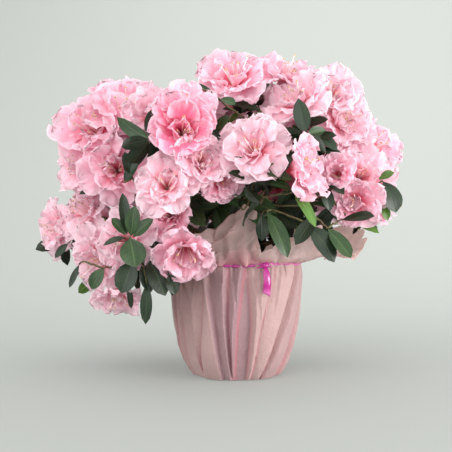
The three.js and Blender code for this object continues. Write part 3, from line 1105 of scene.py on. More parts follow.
MASSES = (
    Mass("upper_left", (
        Perch((0.6, 0.36, 0.77), (0.1, -0.8, 0.5), 0.086),
        Perch((0.32, 0.32, 0.6), (-0.35, -0.85, 0.3), 0.084),
        Perch((0.54, 0.2, 0.26), (0.1, -0.95, 0.1), 0.07),
        Perch((0.2, 0.4, 0.3), (-0.6, -0.75, 0.0), 0.068, tone=PALE),
        Perch((0.84, 0.3, 0.7), (0.3, -0.8, 0.4), 0.066, tone=PALE),
    ), (), (
        Blade((0.34, 0.3, 0.09), (-0.86, -0.45, -0.24), 0.016, 0.4),
        Blade((0.3, 0.34, 0.19), (-0.64, -0.57, 0.52), 0.013, 0.3),
    )),
    Mass("centre_left", (
        Perch((0.51, 0.18, 0.64), (0.05, -0.95, 0.2), 0.071, CUP, DEEP),
        Perch((0.5, 0.5, 0.86), (-0.1, -0.6, 0.8), 0.074),
        Perch((0.36, 0.14, 0.23), (0.0, -0.85, 0.2), 0.06, tone=PALE),
        Perch((0.7, 0.2, 0.4), (0.3, -0.9, 0.2), 0.058, CUP, PALE),
        Perch((0.88, 0.3, 0.27), (0.4, -0.8, -0.3), 0.048, CUP),
    ), (), (
        Blade((0.82, 0.52, 0.65), (0.62, -0.43, 0.66), 0.022, 0.6, MID),
        Blade((0.87, 0.5, 0.54), (-0.32, -0.4, 0.86), 0.018, 0.5),
        Blade((0.39, 0.4, 0.77), (-0.05, -0.11, 0.99), 0.02, 0.3),
        Blade((0.0, 0.36, 0.31), (-0.22, -0.21, 0.95), 0.022, 0.5),
        Blade((-0.07, 0.38, 0.26), (0.57, -0.31, 0.76), 0.022, 0.5),
    )),
    Mass("top", (
        Perch((0.35, 0.33, 0.62), (-0.05, -0.75, 0.65), 0.084),
        Perch((0.76, 0.52, 0.7), (0.2, -0.5, 0.8), 0.076),
        Perch((0.81, 0.16, 0.31), (-0.45, -0.6, 0.6), 0.078, tone=PALE),
    ), (), (
        Blade((0.05, 0.15, 0.5), (0.84, -0.21, -0.51), 0.021, 0.3),
        Blade((0.24, 0.08, 0.31), (0.85, -0.41, -0.33), 0.017, 0.7, MID),
        Blade((0.44, 0.18, 0.08), (0.92, -0.36, -0.16), 0.02, 0.4),
        Blade((0.56, 0.24, 0.21), (-0.93, -0.29, 0.24), 0.03, 0.35),
        Blade((0.5, 0.3, 0.3), (0.3, -0.5, 0.4), 0.03, 0.4),
    )),
    Mass("upper_right", (
        Perch((0.76, 0.54, 0.84), (0.5, -0.4, 0.8), 0.074),
        Perch((0.8, 0.3, 0.5), (0.45, -0.8, 0.2), 0.072, tone=PALE),
        Perch((0.66, 0.2, 0.72), (0.1, -0.85, 0.4), 0.066, CUP, PALE),
    ), (), (
        Blade((0.33, 0.05, 0.41), (0.89, -0.27, 0.36), 0.024, 0.5),
        Blade((0.38, 0.06, 0.38), (0.83, -0.18, -0.52), 0.034, 0.42),
        Blade((0.5, 0.06, 0.22), (0.88, -0.22, -0.42), 0.028, 0.42),
        Blade((0.36, 0.1, 0.3), (0.6, -0.3, 0.1), 0.03, 0.42),
    )),
    Mass("centre", (
        Perch((0.3, 0.12, 0.66), (-0.15, -0.85, 0.35), 0.074, tone=PALE),
        Perch((0.7, 0.12, 0.47), (0.88, -0.42, 0.2), 0.074, CUP),
        Perch((1.1, 0.5, 0.44), (-0.2, -0.9, 0.2), 0.05, HALF),
    ), (), (
        Blade((0.63, 0.12, 0.26), (-0.94, -0.13, 0.3), 0.063, 0.19),
        Blade((0.37, 0.05, 0.43), (0.97, -0.08, -0.22), 0.028, 0.4, MID),
        Blade((0.63, 0.1, 0.26), (-0.85, -0.4, 0.34), 0.022, 0.5, MID),
        Blade((0.64, 0.08, 0.28), (0.51, -0.21, -0.84), 0.041, 0.34, BRIGHT, (0.6, -0.75, 0.1)),
        Blade((0.18, 0.31, 0.1), (-0.76, -0.27, 0.58), 0.024, 0.4, MID),
        Blade((0.38, 0.27, 0.2), (-0.96, -0.24, 0.13), 0.034, 0.16, MID),
        Blade((0.26, 0.08, 0.49), (-0.9, -0.25, 0.37), 0.018, 0.5, MID),
        Blade((0.62, 0.1, 0.61), (-0.41, -0.32, -0.85), 0.022, 0.4),
    )),
    Mass("right", (
        Perch((0.68, 0.5, 0.8), (0.5, -0.7, 0.4), 0.076),
        Perch((0.5, 0.24, 0.5), (0.2, -0.95, 0.15), 0.072, tone=PALE),
        Perch((0.4, 0.12, 0.26), (-0.1, -0.85, -0.2), 0.062, CUP),
        Perch((0.3, 0.3, 0.95), (-0.1, -0.8, 0.5), 0.066, tone=PALE),
    ), (), (
        Blade((-0.02, 0.0, 0.52), (0.73, -0.25, -0.63), 0.033, 0.52),
        Blade((0.03, 0.04, 0.4), (0.29, -0.34, -0.89), 0.026, 0.5),
        Blade((0.71, 0.2, 0.45), (0.4, -0.31, -0.86), 0.034, 0.66),
        Blade((0.66, 0.2, 0.47), (0.8, -0.44, 0.41), 0.017, 0.6, BRIGHT),
        Blade((0.68, 0.25, 0.28), (0.39, -0.3, -0.87), 0.022, 0.5, BRIGHT),
        Blade((0.4, 0.18, 0.08), (0.88, -0.33, -0.33), 0.026, 0.42, BRIGHT),
    )),
    Mass("far_left", (
        Perch((0.24, 0.45, 0.5), (-0.75, -0.6, 0.0), 0.066, tone=PALE),
        Perch((0.64, 0.14, 0.78), (-0.6, -0.6, 0.4), 0.074, tone=PALE),
    ), (), (
        Blade((0.45, 0.1, 0.3), (-0.6, -0.3, -0.7), 0.02, 0.4),
    )),
    Mass("low_left", (
        Perch((0.26, 0.36, 0.66), (-0.55, -0.75, -0.3), 0.072, tone=PALE),
        Perch((0.45, 0.4, 0.31), (0.0, -0.45, -0.85), 0.058, CUP, PALE),
        Perch((0.55, 0.16, 0.85), (-0.2, -0.9, 0.1), 0.062, tone=PALE),
    ), (), (
        Blade((0.35, 0.18, 0.58), (-0.53, -0.26, -0.8), 0.023, 0.6, MID),
        Blade((0.08, 0.33, 0.61), (-0.37, -0.17, -0.91), 0.024, 0.26),
        Blade((0.59, 0.2, 0.42), (0.14, -0.09, -0.99), 0.023, 0.26),
    )),
    Mass("front_left", (
        Perch((0.68, 0.18, 0.36), (0.0, -0.7, -0.62), 0.07, CUP),
        Perch((0.5, 0.5, 0.78), (-0.2, -0.9, 0.1), 0.062, CUP),
    ), (), (
        Blade((0.11, 0.18, 0.52), (0.2, -0.26, -0.94), 0.028, 0.88, MID),
        Blade((0.13, 0.26, 0.27), (-0.31, -0.25, -0.92), 0.032, 0.66),
        Blade((0.12, 0.18, 0.54), (0.12, -0.18, 0.98), 0.028, 0.5, MID),
        Blade((0.07, 0.2, 0.55), (-0.09, 0.0, 1.0), 0.039, 0.27),
        Blade((0.14, 0.18, 0.53), (0.71, -0.31, 0.64), 0.026, 0.5, MID),
        Blade((0.06, 0.2, 0.52), (-0.94, -0.27, -0.2), 0.022, 0.3),
        Blade((0.06, 0.19, 0.55), (-0.6, -0.1, 0.8), 0.02, 0.5, MID),
        Blade((0.27, 0.3, 0.01), (-0.02, -0.05, -1.0), 0.038, 0.3),
        Blade((0.29, 0.34, 0.27), (0.45, -0.22, -0.87), 0.037, 0.55),
        Blade((0.47, 0.36, 0.18), (0.35, -0.24, -0.91), 0.027, 0.5),
        Blade((0.22, 0.34, 0.24), (0.29, -0.15, -0.95), 0.029, 0.5),
    )),
    Mass("low_right", (), (
        Shoot((0.42, 0.46, 0.5), (0.5, -0.2, 0.7), 4, 0.03),
    ), (
        Blade((-0.39, 0.0, 0.98), (0.42, -0.26, -0.87), 0.047, 0.38, MID),
        Blade((0.2, 0.05, 0.74), (0.61, -0.19, -0.77), 0.043, 0.5),
        Blade((0.47, 0.08, 0.68), (0.6, -0.28, -0.75), 0.036, 0.48, MID),
        Blade((-0.46, 0.19, 0.95), (0.0, -0.23, -0.97), 0.026, 0.5),
        Blade((0.3, 0.1, 0.9), (-0.5, -0.4, -0.6), 0.036, 0.42),
        Blade((0.7, 0.2, 0.85), (0.6, -0.5, 0.1), 0.034, 0.42),
    ), leafy=True),
    *map(Mass, (
        "mid_left", "back_left", "back_right", "back_top", "back_low_left", "back_low_right", "back_low",
    )),
    Mass("heart", (), (
        Shoot((0.36, 0.06, 0.36), (-0.1, -0.9, 0.15)),
        Shoot((0.12, -0.02, 0.4), (-0.3, -0.85, 0.1)),
        Shoot((0.58, 0.04, 0.44), (0.1, -0.9, 0.3)),
        Shoot((1.04, 0.3, 0.16), (0.1, -0.9, 0.2)),
        Shoot((0.88, 0.2, 0.3), (-0.1, -0.95, 0.1)),
        Shoot((1.22, 0.36, 0.1), (0.2, -0.9, 0.1), 5, 0.034),
        Shoot((0.8, 0.4, 0.0), (0.0, -0.9, 0.3), 5, 0.03),
        Shoot((0.98, 0.55, 0.26), (0.1, -0.9, 0.1), 6, 0.036),
        Shoot((0.82, 0.74, -0.02), (0.0, -0.3, 0.4), 7, 0.036),
    ), leafy=True),
)


@dataclass
class Flower:
    """A bloom that has its place on the plant."""

    mass: Mass
    at: Array
    faces: Array
    width: float
    kind: BloomKind
    tone: Tone
    fine: bool


@dataclass
class Tuft:
    """A whorl of leaves that has its place on the plant."""

    mass: Mass
    at: Array
    towards: Array
    leaves: int
    length: float
    spread: float
    greens: tuple[float, float]

    def grow(self, into: Gathering, random: Random) -> None:
        """Adds its leaves to a gathering, in a ring at the twig's end.

        Args:
            into: the gathering.
            random: the source of its chances.
        """
        turn = frame_along(self.towards, random.uniform(0, 2 * math.pi))
        mid, bright = self.greens
        for place in range(self.leaves):
            bearing = 2 * math.pi * (place / self.leaves) + random.uniform(-0.3, 0.3)
            lean = math.radians(self.spread + random.uniform(-16, 16))
            side = turn[:, 0] * math.cos(bearing) + turn[:, 1] * math.sin(bearing)
            towards = turn[:, 2] * math.cos(lean) + side * math.sin(lean) - UP * 0.12
            face = turn[:, 2] * math.sin(lean) - side * math.cos(lean) + UP * 0.25
            chance = random.random()
            green = BRIGHT if chance < bright else MID if chance < mid + bright else DARK
            length, broad = self.length * random.uniform(0.62, 1.0), random.uniform(0.36, 0.5)
            add_leaf(into, self.at + side * 0.0012, towards, face, length, broad, green, random)


@dataclass
class Twigs:
    """The growing wood of one mass: every new twig starts on the nearest limb already there."""

    into: Gathering
    points: Array
    random: Random
    steps: int = 9
    sides: int = 5
    thick: float = 0.0012
    thin: float = 0.0008
    shortest: float = 0.003
    crooked: float = 0.018

    def go_on(self, start: Array, end: Array) -> None:
        """Adds the straight stalk from a whorl of leaves to the bloom beyond it."""
        path = mix(start, end, np.linspace(-0.1, 1.0, 4)[:, None])
        self.into.add(tube(path, np.full(4, self.thin), self.sides).on_tile(int(self.random.integers(16))))

    def reach(self, end: Array, heading: Array) -> None:
        """Grows one twig to an end.

        Args:
            end: where it ends.
            heading: its direction there.
        """
        away = end - self.points
        distance = np.linalg.norm(away, axis=1) + 1e-6
        cost = distance * (1.6 - 0.6 * (away @ unit(heading)) / distance)
        start = self.points[int(cost.argmin())]
        span = float(np.linalg.norm(end - start))
        if span < self.shortest:
            return
        shares = np.linspace(0.0, 1.0, self.steps + 1)[:, None]
        early = start + unit(end - start + UP * (0.12 * span)) * span * 0.33
        late = end - unit(heading) * min(span * 0.3, 0.02)
        path = (
            (1 - shares) ** 3 * start
            + 3 * shares * (1 - shares) ** 2 * early
            + 3 * shares**2 * (1 - shares) * late
            + shares**3 * end
        )
        shake = self.random.normal(0.0, self.crooked * span, (self.steps + 1, 3))
        path = path + shake * np.sin(math.pi * shares)
        radii = mix(self.thick, self.thin, shares[:, 0])
        self.into.add(tube(path, radii, self.sides).on_tile(int(self.random.integers(16))))
        self.points = np.concatenate([self.points, path[2:]])


@dataclass
class Canopy:
    """The whole crown: its blossom, leaves and twigs, placed and grown by seeded rules."""

    palette: Palette
    bloom_gap: float = 0.05
    bloom_share: float = 0.93
    depth: float = 0.014
    wrap_gap: float = 0.026
    rim_gap: float = 0.02
    corner_gap: float = 0.012
    flowers: list[Flower] = field(default_factory=list)
    tufts: list[Tuft] = field(default_factory=list)

    def place(self) -> None:
        """Places every bloom and whorl of leaves: first the perches, then the rest of the surface."""
        for mass in MASSES:
            for perch in mass.perches:
                at, faces = mass.place(perch.at), unit(np.array(perch.faces))
                width = perch.width * self.bloom_share
                self.flowers.append(Flower(mass, at, faces, width, perch.kind, perch.tone, True))
            for shoot in mass.shoots:
                at, towards = mass.place(shoot.at), unit(np.array(shoot.towards))
                shape = (shoot.leaves, shoot.length, shoot.spread, shoot.greens)
                self.tufts.append(Tuft(mass, at, towards, *shape))
        for rank, mass in enumerate(MASSES):
            random = np.random.default_rng([SEED, rank])
            faces = mass.surface()
            order = random.permutation(len(faces))
            if not mass.leafy:
                for number in order:
                    self._try_bloom(mass, *faces[number], random)
            for number in random.permutation(len(faces)):
                self._try_tuft(mass, *faces[number], random)

    @staticmethod
    def _buried(mass: Mass, point: Array, scale: float) -> bool:
        """Whether a point lies inside another mass than its own."""
        return any(other is not mass and other.holds(point, scale) for other in MASSES)

    def _pierces(self, point: Array) -> bool:
        """Whether a point lies among the open petals of a bloom that has its place.

        Args:
            point: the point.

        Returns:
            Whether it does.
        """
        for flower in self.flowers:
            away = point - flower.at
            ahead = float(away @ flower.faces)
            aside = math.sqrt(max(float(away @ away) - ahead**2, 0.0))
            if aside < flower.width * 0.46 and -0.012 < ahead < 0.04:
                return True
        return False

    def _over_paper(self, point: Array) -> bool:
        """Whether a point lies close to the wrap or under one of the paper's corners.

        Args:
            point: the point.

        Returns:
            Whether it does.
        """
        low, size = box_of("paper_wrap")
        if np.hypot(*point[:2]) < size[0] / 2 + self.wrap_gap and point[2] < low[2] + size[2] + self.rim_gap:
            return True
        for node in (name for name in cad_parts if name.startswith("paper_flap")):
            low, size = box_of(node)
            inside = np.all(point[:2] > low[:2] - self.corner_gap)
            if inside and np.all(point < low + size + self.corner_gap):
                return True
        return False

    @staticmethod
    def _nearest(point: Array, others: list) -> float:
        """The distance from a point to the nearest of some placed things."""
        spots = np.array([other.at for other in others]).reshape(-1, 3)
        return float(np.sqrt(((spots - point) ** 2).sum(axis=1)).min(initial=math.inf))

    def _try_bloom(self, mass: Mass, middle: Array, normal: Array, random: Random) -> None:
        """Adds a bloom on one face of a mass if there is room for it.

        Args:
            mass: the mass.
            middle: the face's middle.
            normal: its outward normal.
            random: the source of its chances.
        """
        width = random.uniform(0.062, 0.078)
        at = middle - normal * self.depth
        faces = unit(normal + UP * 0.25 + random.normal(0, 0.22, 3))
        kind = random.choice([OPEN] * 6 + [CUP] * 3 + [HALF])
        tone = random.choice([PALE] * 5 + [ROSE] * 5 + [DEEP])
        if normal[2] < -0.3 or self._nearest(at, self.flowers) < self.bloom_gap * width / 0.07:
            return
        foot = at - faces * 0.027
        held = mass.holds(at, 1.0) and mass.holds(foot, 0.95)
        hangs = at[0] > 0.03 and at[2] < box_of("paper_flap_right")[0][2] + 0.05
        if not held or hangs or self._over_paper(at) or self._over_paper(foot):
            return
        if not (self._buried(mass, at, 0.92) or self._pierces(foot) or self._pierces(at - faces * 0.038)):
            self.flowers.append(Flower(mass, at, faces, width, kind, tone, False))

    def _try_tuft(self, mass: Mass, middle: Array, normal: Array, random: Random) -> None:
        """Adds a whorl of leaves on one face of a mass if there is room for it.

        Args:
            mass: the mass.
            middle: the face's middle.
            normal: its outward normal.
            random: the source of its chances.
        """
        under, ahead = normal[2] < -0.2, normal[1] < 0.1
        depth = 0.024 if mass.leafy else 0.016 if under and not ahead else 0.046 if ahead else 0.036
        at = middle - normal * depth
        length = random.uniform(0.026, 0.042)
        towards = unit(normal + random.normal(0, 0.25, 3))
        leaves = int(random.integers(4, 7))
        if self._nearest(at, self.flowers) < (0.02 if under else 0.03) or self._over_paper(at):
            return
        if self._pierces(at) or self._pierces(at + towards * length * 0.6):
            return
        if self._nearest(at, self.tufts) < 0.03 or self._buried(mass, at, 0.84) or not mass.holds(at, 1.0):
            return
        self.tufts.append(Tuft(mass, at, towards, leaves, length, 56.0, (0.3, 0.06)))

    def build(self, wood: dict[str, Array]) -> None:
        """Builds each mass's blossom, leaves and twigs.

        Args:
            wood: the middle line of each bough, by its mass's name, and of the stem.
        """
        for rank, mass in enumerate(MASSES):
            random = np.random.default_rng([SEED, 100 + rank])
            blossom = Gathering(f"blossom_{mass.name}", self.palette.petals, growing=True)
            leaves = Gathering(f"leaves_{mass.name}", self.palette.leaves, growing=True)
            twigs = Gathering(f"twigs_{mass.name}", self.palette.twigs)
            start = wood[mass.name] if mass.name in wood else np.concatenate(list(wood.values()))
            growth = Twigs(twigs, start, random)
            ends = self._dress(mass, blossom, leaves, random)
            ends.sort(key=lambda end: float(np.linalg.norm(start - end[0], axis=1).min()))
            for end, heading, onward in ends:
                growth.reach(end, heading)
                if onward is not None:
                    growth.go_on(end, onward)
            for made, slot in ((blossom, "blossom_mass"), (leaves, "leaf_mass"), (twigs, "bark")):
                if made.patches:
                    report(made.build(), slot, mass.node)

    def _dress(
        self, mass: Mass, blossom: Gathering, leaves: Gathering, random: Random
    ) -> list[tuple[Array, Array, Array | None]]:
        """Makes a mass's blooms and leaves.

        Args:
            mass: the mass.
            blossom: where the blooms go.
            leaves: where the leaves go.
            random: the source of their own waves.

        Returns:
            The twigs that they need: where each ends, its direction there, and the point that it
            goes on to from there, or none.
        """
        ends = []
        for flower in (f for f in self.flowers if f.mass is mass):
            foot = Bloom(fine=flower.fine).grow(blossom, flower, random)
            below = foot - flower.faces * random.uniform(0.01, 0.02)
            ends.append((below, flower.faces, foot - flower.faces * 0.003))
            if not self._pierces(below + flower.faces * 0.01):
                count, length = int(random.integers(3, 6)), random.uniform(0.016, 0.024)
                Tuft(mass, below, flower.faces, count, length, 64.0, (0.3, 0.05)).grow(leaves, random)
        for tuft in (t for t in self.tufts if t.mass is mass):
            tuft.grow(leaves, random)
            ends.append((tuft.at, tuft.towards, None))
        for blade in mass.blades:
            at, towards = mass.place(blade.at), unit(np.array(blade.towards))
            shape = (np.array(blade.face), blade.length, blade.broad, blade.green)
            add_leaf(leaves, at, towards, *shape, random)
            if all(float(np.linalg.norm(at - end[0])) > 0.006 for end in ends):
                ends.append((at, unit(towards + np.array([0, 0.6, 0.2])), None))
        return ends


# The wood


@dataclass
class Wood:
    """The stem and the boughs, with their bark's relief."""

    ridge: float = 0.0005
    fork: Triple = (0.0, 0.0, 0.125)
    slices: int = 8
    steps: int = 28
    finish: BarkFinish = BarkFinish(
        "old_bark", (0.2, 0.13, 0.08), (0.05, 0.03, 0.018), (0.11, 0.13, 0.05), 0.35
    )
    lines: dict[str, Array] = field(default_factory=dict)

    def build(self) -> dict[str, Array]:
        """Builds the stem and the boughs.

        Returns:
            The middle line of each bough, by its mass's name, and of the stem.
        """
        bark = self.finish.material()
        boughs = [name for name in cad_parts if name.startswith("bough_")]
        for name in boughs:
            self.lines[name.removeprefix("bough_")] = self._middle_line(name)
        self.lines["stem"] = self._middle_line("stem")
        for title, nodes in (("stem_wood", ["stem"]), ("bough_wood", boughs)):
            piece = self._carve(title, nodes)
            piece.data.materials.clear()
            piece.data.materials.append(bark)
            report(piece, "bark", *nodes)
        return self.lines

    def _middle_line(self, node: str) -> Array:
        """The middle line of a limb, from its lower end to its upper one.

        Args:
            node: the CAD node of the limb.

        Returns:
            Points along it.
        """
        points = np.unique(np.round(node_points(node), 5), axis=0)
        away = np.linalg.norm(points - np.array(self.fork), axis=1) if node != "stem" else points[:, 2]
        start, end = points[away.argmin()], points[away.argmax()]
        along = (points - start) @ unit(end - start)
        edges = np.linspace(along.min(), along.max() + 1e-6, self.slices + 1)
        slices = [points[(along >= low) & (along < high)] for low, high in zip(edges, edges[1:])]
        line = np.array([part.mean(axis=0) for part in slices if len(part)])
        fine = np.linspace(0, len(line) - 1, self.steps)
        return np.stack([np.interp(fine, np.arange(len(line)), line[:, i]) for i in range(3)], axis=1)

    def _carve(self, title: str, nodes: list[str]) -> Piece:
        """Merges copies of some limbs, rounds them and raises their bark.

        Args:
            title: the new piece's name.
            nodes: the CAD nodes.

        Returns:
            The new piece.
        """
        shape = bmesh.new()
        for node in nodes:
            shape.from_mesh(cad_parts[node].data)
        bmesh.ops.remove_doubles(shape, verts=shape.verts, dist=1e-5)
        mesh = bpy.data.meshes.new(title)
        shape.to_mesh(mesh)
        shape.free()
        piece = add_object(title, mesh)
        Bench.take(piece)
        Bench.modify(piece, "SUBSURF", levels=2, render_levels=2)
        places, normals = mesh_arrays(piece)
        knots = np.array([noise.fractal(Vector(p) * 420.0, 0.7, 2.1, 4) for p in places])
        furrows = noise_at(places * np.array([1.0, 1.0, 0.3]), 900.0)
        put_points(piece, places + normals * ((knots + 0.6 * furrows) * self.ridge)[:, None])
        bpy.ops.object.shade_smooth()
        return piece


# Modelling by hand


def mesh_arrays(piece: Piece) -> tuple[Array, Array]:
    """The points and the normals of a piece's vertices.

    Args:
        piece: the piece.

    Returns:
        The two arrays, with one row for each vertex.
    """
    mesh = piece.data
    points, normals = np.zeros(len(mesh.vertices) * 3), np.zeros(len(mesh.vertices) * 3)
    mesh.vertices.foreach_get("co", points)
    mesh.vertices.foreach_get("normal", normals)
    return points.reshape(-1, 3), normals.reshape(-1, 3)


def noise_at(points: Array, scale: float) -> Array:
    """Smooth noise, from about -1 to 1, at points that are scaled first."""
    return np.array([noise.noise(Vector(p) * scale) for p in points])


def put_points(piece: Piece, points: Array) -> None:
    """Moves a piece's vertices to new points."""
    piece.data.vertices.foreach_set("co", points.ravel())
    piece.data.update()


class Bench:
    """Models a piece by hand: a primitive, shaped in edit mode and finished with modifiers."""

    @staticmethod
    def clear() -> None:
        """Leaves nothing selected."""
        for other in bpy.context.selected_objects:
            other.select_set(False)

    @classmethod
    def take(cls, piece: Piece) -> None:
        """Makes a piece the only one selected."""
        cls.clear()
        piece.select_set(True)
        bpy.context.view_layer.objects.active = piece

    @classmethod
    @contextmanager
    def editing(cls, piece: Piece) -> Iterator[None]:
        """Holds a piece in edit mode, at first with all of it selected.

        Args:
            piece: the piece.

        Yields:
            Nothing, while edit mode lasts.
        """
        cls.take(piece)
        bpy.ops.object.mode_set(mode="EDIT")
        bpy.ops.mesh.select_all(action="SELECT")
        yield
        bpy.ops.object.mode_set(mode="OBJECT")

    @classmethod
    def lathe(cls, name: str, profile: list[tuple[float, float]], sides: int) -> Piece:
        """Raises a round wall ring by ring from a circle.

        Args:
            name: the piece's name.
            profile: the radius and the height of each ring, in metres.
            sides: the number of sides.

        Returns:
            The open wall, its vertices ring by ring.
        """
        cls.clear()
        radius, height = profile[0]
        bpy.ops.mesh.primitive_circle_add(vertices=sides, radius=radius, location=(0, 0, height))
        piece = bpy.context.object
        piece.name = piece.data.name = name
        bpy.ops.object.transform_apply(location=True, rotation=False, scale=False)
        with cls.editing(piece):
            for (old, low), (new, high) in zip(profile, profile[1:]):
                bpy.ops.mesh.extrude_region_move(TRANSFORM_OT_translate={"value": (0, 0, high - low)})
                bpy.ops.transform.resize(value=(new / old, new / old, 1), center_override=(0, 0, 0))
        return piece

    @classmethod
    def close_end(cls, piece: Piece, low: float, high: float, widest: float) -> None:
        """Fills an open ring.

        Args:
            piece: the piece.
            low: the height above which its vertices lie.
            high: the height below which they lie.
            widest: the radius within which they lie.
        """
        with cls.editing(piece):
            bpy.ops.mesh.select_mode(type="VERT")
            bpy.ops.mesh.select_all(action="DESELECT")
            shape = bmesh.from_edit_mesh(piece.data)
            for vertex in shape.verts:
                vertex.select_set(low <= vertex.co.z <= high and vertex.co.xy.length <= widest)
            shape.select_flush_mode()
            bmesh.update_edit_mesh(piece.data)
            bpy.ops.mesh.edge_face_add()

    @classmethod
    def modify(cls, piece: Piece, kind: str, **settings: object) -> None:
        """Adds a modifier with its settings and applies it.

        Args:
            piece: the piece.
            kind: the modifier's type.
            settings: its settings.
        """
        cls.take(piece)
        modifier = piece.modifiers.new(kind.lower(), kind)
        for key, value in settings.items():
            setattr(modifier, key, value)
        bpy.ops.object.modifier_apply(modifier=modifier.name)

    @classmethod
    def face_out(cls, piece: Piece) -> None:
        """Turns a wall's faces to look away from the pot's axis.

        Args:
            piece: the wall.
        """
        with cls.editing(piece):
            bpy.ops.mesh.normals_make_consistent(inside=False)
        outward = sum(
            face.area * (face.normal.x * face.center.x + face.normal.y * face.center.y)
            for face in piece.data.polygons
        )
        if outward < 0:
            with cls.editing(piece):
                bpy.ops.mesh.flip_normals()

    @classmethod
    def finish(cls, piece: Piece, material: Material, smooth: float = 60.0) -> None:
        """Smooths a piece and gives it its material.

        Args:
            piece: the piece.
            material: its material.
            smooth: the angle between faces up to which their edge looks smooth, in degrees.
        """
        cls.take(piece)
        bpy.ops.object.shade_smooth_by_angle(angle=math.radians(smooth))
        piece.data.materials.clear()
        piece.data.materials.append(material)


# The pot and its paper


@dataclass(frozen=True)
class Crease:
    """One sharp line that runs up the whole wall, where two flat panels of paper meet.

    It also says how much red shows along it, from the paper doubled in the fold and from painted shade in the
    valley, and how much shows through the panel beyond it, from layered paper and, over the front overlap,
    from painted shade.
    """

    bearings: tuple[float, float, float]
    lift: float
    valley_red_and_shade: float
    layers: float

    def bearing(self, share: float) -> float:
        """Its bearing about the axis at a height, from 0 at the foot to 1 at the tie."""
        return float(np.interp(share, (0.0, 0.5, 1.0), self.bearings))


@dataclass(frozen=True)
class Gather:
    """A short pinched fold that spreads down from the tie and dies out on the wall."""

    bearing: float
    lean: float
    width: float
    lift: float
    end: float

    def lift_at(self, angle: Array, share: Array) -> Array:
        """How far it lifts points of the wall.

        Args:
            angle: their bearings, in radians.
            share: their heights, from 0 at the foot to 1 at the tie.

        Returns:
            The lift of each in metres.
        """
        middle = self.bearing + self.lean * (share - 1)
        away = np.abs(np.mod(angle - middle + math.pi, 2 * math.pi) - math.pi)
        reach = np.clip((share - self.end) / (1 - self.end), 0, 1)
        return self.lift * np.sqrt(reach) * np.clip(1 - away / (self.width * mix(0.35, 1.0, reach)), 0, 1)


